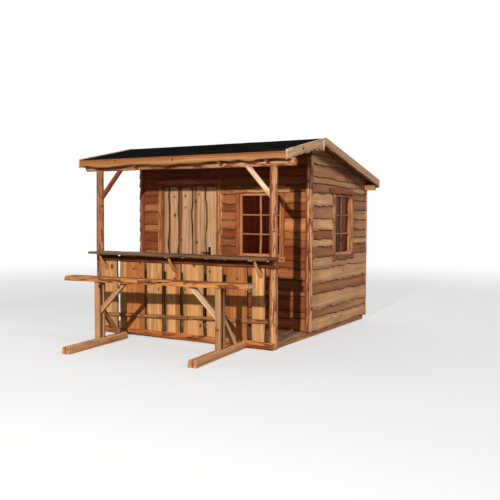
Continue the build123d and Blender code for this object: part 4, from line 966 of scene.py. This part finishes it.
# %% Roof boards and felt
ROOF_ROW = 0.121
FELT_THICK = 0.0031
FELT_EDGE = (0.0005, 0.0012)
FELT_SHOWN, FELT_LAP = 0.92, 0.08


def pitch_axes(end):
    """Down the front pitch (end -1) or the rear one (end 1), and out of its face."""
    return COS_PITCH * (end * Y - TAN_PITCH * Z), COS_PITCH * (end * TAN_PITCH * Y + Z)


strips = []
for side, end in (("front", -1), ("rear", 1)):
    slope, out = pitch_axes(end)
    low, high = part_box(f"{side}_roof_boards")
    run = (high.y if end > 0 else -low.y) / COS_PITCH
    rows = [plank(low.x * X + RIDGE - out * 0.022, X, slope, out, high.x - low.x, i * ROOF_ROW + 0.001,
                  min((i + 1) * ROOF_ROW, run) - 0.001, 0.0186, 3300 + 7 * i, "orno"[i % 4], bevel=(0.002, 0.002),
                  pitch=0.3) for i in range(math.ceil(run / ROOF_ROW))]
    build(f"{side}_roof_planks", rows, "roof_wood", "sawn_timber", f"{side}_roof_boards")

    base = -1.5875 * X + RIDGE - out * FELT_THICK
    uphill = EAVES[end] / COS_PITCH
    seed = 3400
    while uphill > 0.01:
        downhill, uphill = uphill, max(0.0, uphill - FELT_SHOWN)
        strips.append(plank(base, X, slope, out, 3.175, max(0.0, uphill - FELT_LAP), lambda s, d=downhill, n=seed:
                            d - 0.001 + 0.0008 * wander(s, n, 0.2), (0.0030, 0.0052), seed, bevel=FELT_EDGE,
                            pitch=0.05, relief=0.0012))
        seed += 1
    strips.append(plank(base, X, slope, out, 3.175, 0.0, 0.165, (0.0075, 0.0068), 3420 + end,
                        bevel=(0.0, FELT_EDGE[1]), pitch=0.05, relief=0.001))
build("felt_strips", strips, "roofing_felt_black", "roofing_felt", "roof_felt")

# %% [markdown]
# ## The bar
#
# Upright boards close the front of the porch, a little apart, so that daylight shows between them.
# A weathered plank lies on top, held by three horn-shaped branches. A half log runs under the top,
# another crosses lower down as a foot rail, and a thick one lies on the ground as a sill.

# %% Bar boards
bar_low, bar_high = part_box("bar_boards")
BAR_WIDTHS = np.array((0.313, 0.428, 0.262, 0.230, 0.315, 0.236, 0.313, 0.185))
BAR_SHARES = np.array((0, 35, 25, 57, 39, 45, 44, 56))
BAR_KINDS = [(0.12, -0.1, 0.75), (0.05, 0.16, 0.66), (0.0, -0.1, 0.72), (0.06, 0.03, 0.78), (1.08, 0.0, 0.72),
             (1.04, 0.0, 0.76), (0.0, 0.5, 0.64), (0.0, -0.1, 0.80)]
room = bar_high.x - bar_low.x - BAR_WIDTHS.sum()
BAR_STARTS = bar_low.x + np.cumsum(BAR_WIDTHS) - BAR_WIDTHS + room * np.cumsum(BAR_SHARES) / BAR_SHARES.sum()
# both edges of each board take the dark edge colour, round onto its sides: bark, and painted shade in the gap
planks = [plank((x, bar_high.y, bar_low.z), Z, X, -Y, bar_high.z - bar_low.z, (0.003, 3500 + 9 * i, 0.008, 0.36),
                (width - 0.003, 3504 + 9 * i, 0.008, 0.36), bar_high.y - bar_low.y, 3500 + 3 * i, BAR_KINDS[i],
                bevel=(0.006, 0.006), bark=(1, 1), pitch=0.022)
          for i, (x, width) in enumerate(zip(BAR_STARTS, BAR_WIDTHS))]
build("bar_planks", planks, "bar_wood", "bar_wood", "bar_boards")

# %% Bar top and its logs
BAR_FACE = bar_low.y
low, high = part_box("bar_top")
top = plank((low.x + 0.016, 0, low.z), X, Y, Z, high.x - low.x - 0.034, (low.y + 0.004, 3601, 0.006, 0.5),
            (high.y - 0.004, 3605, 0.005, 0.5), high.z - low.z, 3601, "d", bevel=(0.007, 0.005), bark=(0.9, 0.3),
            pitch=0.02)
build("bar_top_plank", [top], "weathered_wood", "weathered_wood", "bar_top")
upper = half_log((low.x, BAR_FACE, 1.0175), (high.x, BAR_FACE, 1.0175), Z, 0.073, 0.044, 3641, "r")
build("bar_upper_rail", [upper], "rail_wood", "bar_wood")
low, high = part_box("bar_sill")
sill = half_log((low.x, BAR_FACE, 0.0475), (high.x, BAR_FACE, 0.0475), Z, 0.094, 0.045, 3663, "s", rough=0.11)
sill["points"][:, 2] = np.maximum(sill["points"][:, 2], 0.0)
build("bar_sill_log", [sill], "sill_wood", "bar_wood", "bar_sill")
foot_rail = half_log((-1.150, BAR_FACE, 0.249), (1.325, BAR_FACE, 0.343), Z, 0.060, 0.035, 3688, "s", rough=0.18)
build("bar_foot_rail", [foot_rail], "foot_rail_wood", "bar_wood", "bar_rails")


# %% Brackets
def horn(x, seed, steps=16, rings=22):
    """An ellipse carried along an arc from the boards out to the bar top, thick at the foot, thin at
    the tip: centre = (1-t)^2*foot + 2t(1-t)*bend + t^2*tip."""
    foot, tip = np.array([x, -1.022, 0.885]), np.array([x, -1.199, 1.088])
    bend = (foot + tip) / 2 - 0.030 * (Y + Z)
    t = np.linspace(0, 1, rings)[:, None]
    centre = (1 - t) ** 2 * foot + 2 * t * (1 - t) * bend + t**2 * tip
    ahead = np.gradient(centre, axis=0)
    up = np.cross(X, ahead / np.linalg.norm(ahead, axis=1)[:, None])
    t, a = np.broadcast_arrays(t, np.arange(steps)[None, :] * 2 * math.pi / steps)
    size = (0.031 - 0.018 * t) * (1 + 0.06 * bumps(t, a, seed))
    wide, tall = size * np.cos(a), size * np.sin(a)
    points = centre[:, None] + (wide * 1.05)[..., None] * X + tall[..., None] * up[:, None]
    return tube(points, np.stack([0.29 * t + seed, wide, tall], axis=-1), "m", 0.5)


horns = [horn(x, 3700 + i) for i, x in enumerate((-1.170, -0.020, 1.230))]
build("bar_horns", horns, "horn_wood", "bar_wood", "bar_brackets")

# %% [markdown]
# ## The bench
#
# A single waney plank on two posts. Each post is a pair of boards with a gap, which holds the brace
# that goes up to the seat, and two more boards steady the post on its foot. The bench stands
# a little askew, so it is built square to itself and then turned: x' = x cos t - y sin t and
# y' = x sin t + y cos t.

# %% Bench
BENCH_AT, BENCH_TURN = np.array([-1.506, -1.877, 0.0]), math.radians(5.34)
SEAT_TOP, SEAT_UNDER, FOOT_TOP = 0.846, 0.788, 0.085
BENCH_POSTS = (0.893, 2.555)


def bench(name, pieces, finish, *replaces):
    """Turn the points about Z, set them down in front of the bar and build the piece."""
    cos, sin = math.cos(BENCH_TURN), math.sin(BENCH_TURN)
    spin = np.array([[cos, -sin, 0], [sin, cos, 0], [0, 0, 1]])
    for piece in pieces:
        piece["points"] = piece["points"] @ spin.T + BENCH_AT
    build(f"bench_{name}", pieces, finish, "bench_wood", *replaces)


seat = plank((0.426, 0, SEAT_UNDER), X, Y, Z, 2.5035, (-0.099, 3801, 0.013, 0.34), (0.099, 3806, 0.013, 0.34),
             SEAT_TOP - SEAT_UNDER, 3801, (0.03, 0.055, 0.60), bevel=(0.026, 0.020), bark=(0.6, 0.6), pitch=0.018)
rim = seat["points"][-len(PLANK_RING):]
inner = rim.mean(axis=0) + 0.97 * (rim - rim.mean(axis=0))
sawn_end = tube(np.stack([inner - 0.003 * X, inner + 0.0012 * X]), np.stack([inner[:, [1, 2, 0]]] * 2), "p", 0.0)
bench("seat", [seat], "bench_wood", "bench_plank")
bench("seat_end", [sawn_end], "sawn_end_wood")
posts = [plank((x, near, FOOT_TOP), Z, X, Y, SEAT_UNDER - FOOT_TOP, -0.035, 0.035, 0.040, 3820 + 3 * i + way,
               "ptpt"[i + way + 1], bevel=EASED, bark=(0.4, 0.4))
         for i, x in enumerate(BENCH_POSTS) for way, near in ((-1, -0.065), (1, 0.025))]
bench("post_boards", posts, "bench_sawn", "bench_posts")

# %% Bench feet and braces
feet = [plank((x, -0.653, 0), Y, -X, Z, 0.653 + rear, -0.054, 0.054, FOOT_TOP, seed, (0.0, 0.012, 0.70),
              bevel=(0.018, 0.018), bark=(0.35, 0.35), pitch=0.025)
        for x, rear, seed in ((BENCH_POSTS[0], 0.513, 3850), (BENCH_POSTS[1], 0.592, 3870))]
bench("foot_beams", feet, "bench_foot_wood", "bench_feet")


def brace(start, end, across, out, width, thick, slope, seed, kind):
    """A plank from start to end that climbs or falls at slope, its ends cut plumb and level."""
    run = np.subtract(end, start)
    length = float(np.linalg.norm(run))
    return plank(start, run / length, across, out, length, -width / 2, width / 2, thick, seed, kind, bevel=EASED,
                 bark=(0.3, 0.3), cuts=(slope, -1 / slope))


BRACE_RUN, BRACE_CUT, SEAT_BRACE_RISE, FOOT_BRACE_DROP = 0.330, 0.075, 0.340, 0.365
for x, way, seed, name, finish, *stands_for in ((BENCH_POSTS[0], 1, 3900, "left", "bench_sawn", "bench_braces"),
                                                (BENCH_POSTS[1], -1, 3920, "right", "bench_pale_wood")):
    angle = math.atan2(SEAT_BRACE_RISE, BRACE_RUN)
    braces = [brace((x, -0.025, SEAT_UNDER - SEAT_BRACE_RISE - BRACE_CUT / 2),
                    (x + way * (BRACE_RUN + BRACE_CUT / 2), -0.025, SEAT_UNDER),
                    math.cos(angle) * Z - way * math.sin(angle) * X, Y, BRACE_CUT * math.sin(angle) + 0.006, 0.050,
                    math.tan(angle), seed, "t")]
    angle = math.atan2(FOOT_BRACE_DROP, BRACE_RUN)
    braces += [brace((x + side, 0.065, 0.420), (x + side, 0.365, FOOT_TOP), math.sin(angle) * Y + math.cos(angle) * Z,
                     X, 0.044, 0.026, -math.tan(angle), seed + 7, "o") for side in (-0.030, 0.004)]
    bench(f"{name}_braces", braces, finish, *stands_for)

# %% [markdown]
# ## Floors
#
# The porch floor has faded to a pinkish brown, and the floor of the room is clean. Both are rows of
# boards across the bearers, a few millimetres apart.

# %% Floor boards
for name, node, finish, row in (("porch_floor_boards", "porch_deck", "deck_wood", 0.1224),
                                ("room_floor_boards", "house_floor", "room_floor_wood", 0.137)):
    low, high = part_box(node)
    count = round((high.y - low.y) / row)
    row = (high.y - low.y) / count
    rows = []
    for i in range(count):
        half = 1.304 if node == "porch_deck" and i == 0 else high.x
        rows.append(plank((-half, low.y + i * row, low.z), X, Y, Z, 2 * half, 0.002, row - 0.002, high.z - low.z,
                          4000 + 11 * i, "dpgo"[i % 4], bevel=(0.003, 0.003), pitch=0.15))
    build(name, rows, finish, "floor_wood", node)

# %% [markdown]
# ## Nails
#
# Nails hold the door planks to their ledges, the bar boards to their rails and the felt to the eaves.
# Each head is eight-sided and stands a millimetre out of the wood, enough to catch the light.

# %% Nail heads
NAIL = 0.0042
PROUD = 0.0006


def nails(name, places, out, across, body="shed"):
    """Eight-sided nail heads, a ring and a smaller domed ring each."""
    a = np.arange(8)[:, None] * math.pi / 4
    circle = np.cos(a) * across + np.sin(a) * np.cross(out, across)
    heads = [tube(np.stack([place + NAIL * size * circle + rise * out
                            for size, rise in ((1.0, -0.002), (1.0, 0.0006), (0.6, 0.0013))]),
                  np.zeros((3, 8, 3)), (0, 0, 0), 0.0) for place in np.asarray(places)]
    build(name, heads, "black_iron_paint", "black_iron", body=body)


door_nails = [(x + side, door_low.y + PROUD, z + side) for z in LEDGE_HEIGHTS
              for x in (-0.925, -0.790, -0.585, -0.345, -0.090) for side in (-0.026, 0.026)]
# none under the lock plate
door_nails = [p for p in door_nails if abs(p[0] + 0.161) > 0.05 or abs(p[2] - 1.08) > 0.1]
nails("door_nails", door_nails, -Y, Z, body="door")
nails("bar_nails", [(x + side, BAR_FACE + PROUD, z) for z in (0.130, 0.930) for x in BAR_STARTS + BAR_WIDTHS / 2
                    for side in (-0.06, 0.06)], -Y, Z)
nails("felt_nails", [x * X + RIDGE + 0.0025 * Z + pitch_axes(end)[0] * (EAVES[end] / COS_PITCH - 0.03)
                     for end in (-1, 1) for x in np.arange(-1.55, 1.56, 0.155)], Z, X)

# %% [markdown]
# ## Floor, light and camera
#
# A wide pale floor, three lamps and an even sky. The key lamp stands 12 m off at the front right:
# the shadows under the eaves, under the bar top and under the bench fall at different slopes in the
# photograph, steeper the lower they are, as they do under a lamp that is not far away. A broad fill
# lights the right wall and a very soft one the rear. The floor turns white far off so that no
# horizon shows. The camera stands where a fit to the straight edges of the house puts it.


# %% The floor
def seen(tree):
    """1 where the camera looks, also off a gloss or through a pane, and 0 for other light."""
    path = new_node(tree, "ShaderNodeLightPath").outputs
    camera, glossy, through = (Value(path[f"Is {kind} Ray"]) for kind in ("Camera", "Glossy", "Transmission"))
    return camera.most(glossy.most(through))


def blended(share, first, second, end):
    """Mix two shaders by a share and lead them to the end."""
    both = add(share.tree, "ShaderNodeMixShader", {0: share, 1: Value(first.outputs[0]), 2: Value(second.outputs[0])})
    fill(end, {0: both})


def floor_finish():
    """Pale floor, fading to plain white for the camera far out. Light that bounces off it reaches
    the object as from a darker ground, so that the shade under the porch stays deep."""
    tree, shader, place = material("pale_floor")
    pale = mix(noise(place, (30.0, 30.0, 30.0), 3.0), (0.59, 0.59, 0.58, 1), (0.64, 0.64, 0.63, 1))
    fill(shader, {"Roughness": 0.9, "Base Color": mix(seen(tree), (0.15, 0.14, 0.13, 1), pale)})
    far = step(distance(place, (0.0, 0.0, 0.0)), 6.0, 15.0, (0.0, 0.5)) + 0.5
    white = new_node(tree, "ShaderNodeEmission", {"Strength": 1.0})
    blended(far * add(tree, "ShaderNodeLightPath"), shader, white, tree.nodes["Material Output"])


def place_object(name, data):
    made = bpy.data.objects.new(name, data)
    bpy.context.scene.collection.objects.link(made)
    return made


FLOOR_HALF, FLOOR_DROP = 60.0, 0.001
floor_finish()
floor_mesh = bpy.data.meshes.new("studio_floor")
floor_mesh.from_pydata([(FLOOR_HALF * x, FLOOR_HALF * y, -FLOOR_DROP) for x, y in ((-1, -1), (1, -1), (1, 1), (-1, 1))],
                       [], [(0, 1, 2, 3)])
floor_mesh.materials.append(FINISHES["pale_floor"])
place_object("studio_floor", floor_mesh)

# %% Light
key = place_object("key", bpy.data.lights.new("key", "POINT"))
key.data.energy = 5500
key.data.shadow_soft_size = 0.15
key.location = (2.95, -12.0, 5.1)
for name, azimuth, height, angle in (("fill", 83, 31, 22), ("back", 215, 40, 80)):
    lamp = place_object(name, bpy.data.lights.new(name, "SUN"))
    lamp.data.energy = 1.4
    lamp.data.angle = math.radians(angle)
    turn, rise = math.radians(azimuth), math.radians(height)
    towards = Vector((math.sin(turn) * math.cos(rise), -math.cos(turn) * math.cos(rise), math.sin(rise)))
    lamp.rotation_euler = towards.to_track_quat("Z", "Y").to_euler()
world = bpy.data.worlds.new("sky")
bpy.context.scene.world = world
world.use_nodes = True
tree = world.node_tree
tree.nodes.clear()
sky = new_node(tree, "ShaderNodeBackground", {"Strength": 0.12})
white = new_node(tree, "ShaderNodeBackground", {"Color": (1, 1, 1, 1)})
blended(seen(tree), sky, white, new_node(tree, "ShaderNodeOutputWorld"))
bpy.context.scene.view_settings.view_transform = "Standard"
print("lamps:", len(bpy.data.lights))

# %% Camera
YAW, PITCH_DOWN, ROLL = 0.5209, 0.0499, 0.0044
camera = place_object("camera", bpy.data.cameras.new("camera"))
camera.data.sensor_width = 36.0
camera.data.lens = 49.5
camera.data.dof.use_dof = False
camera.location = (5.185, -8.196, 1.604)
forward = Vector((-math.sin(YAW) * math.cos(PITCH_DOWN), math.cos(YAW) * math.cos(PITCH_DOWN), -math.sin(PITCH_DOWN)))
right = Vector((math.cos(YAW), math.sin(YAW), 0.0))
up = right.cross(forward)
side = right * math.cos(ROLL) + up * math.sin(ROLL)
top = up * math.cos(ROLL) - right * math.sin(ROLL)
camera.rotation_euler = Matrix((side, top, -forward)).transposed().to_euler()
bpy.context.scene.camera = camera
print("camera at", [round(v, 3) for v in camera.location])
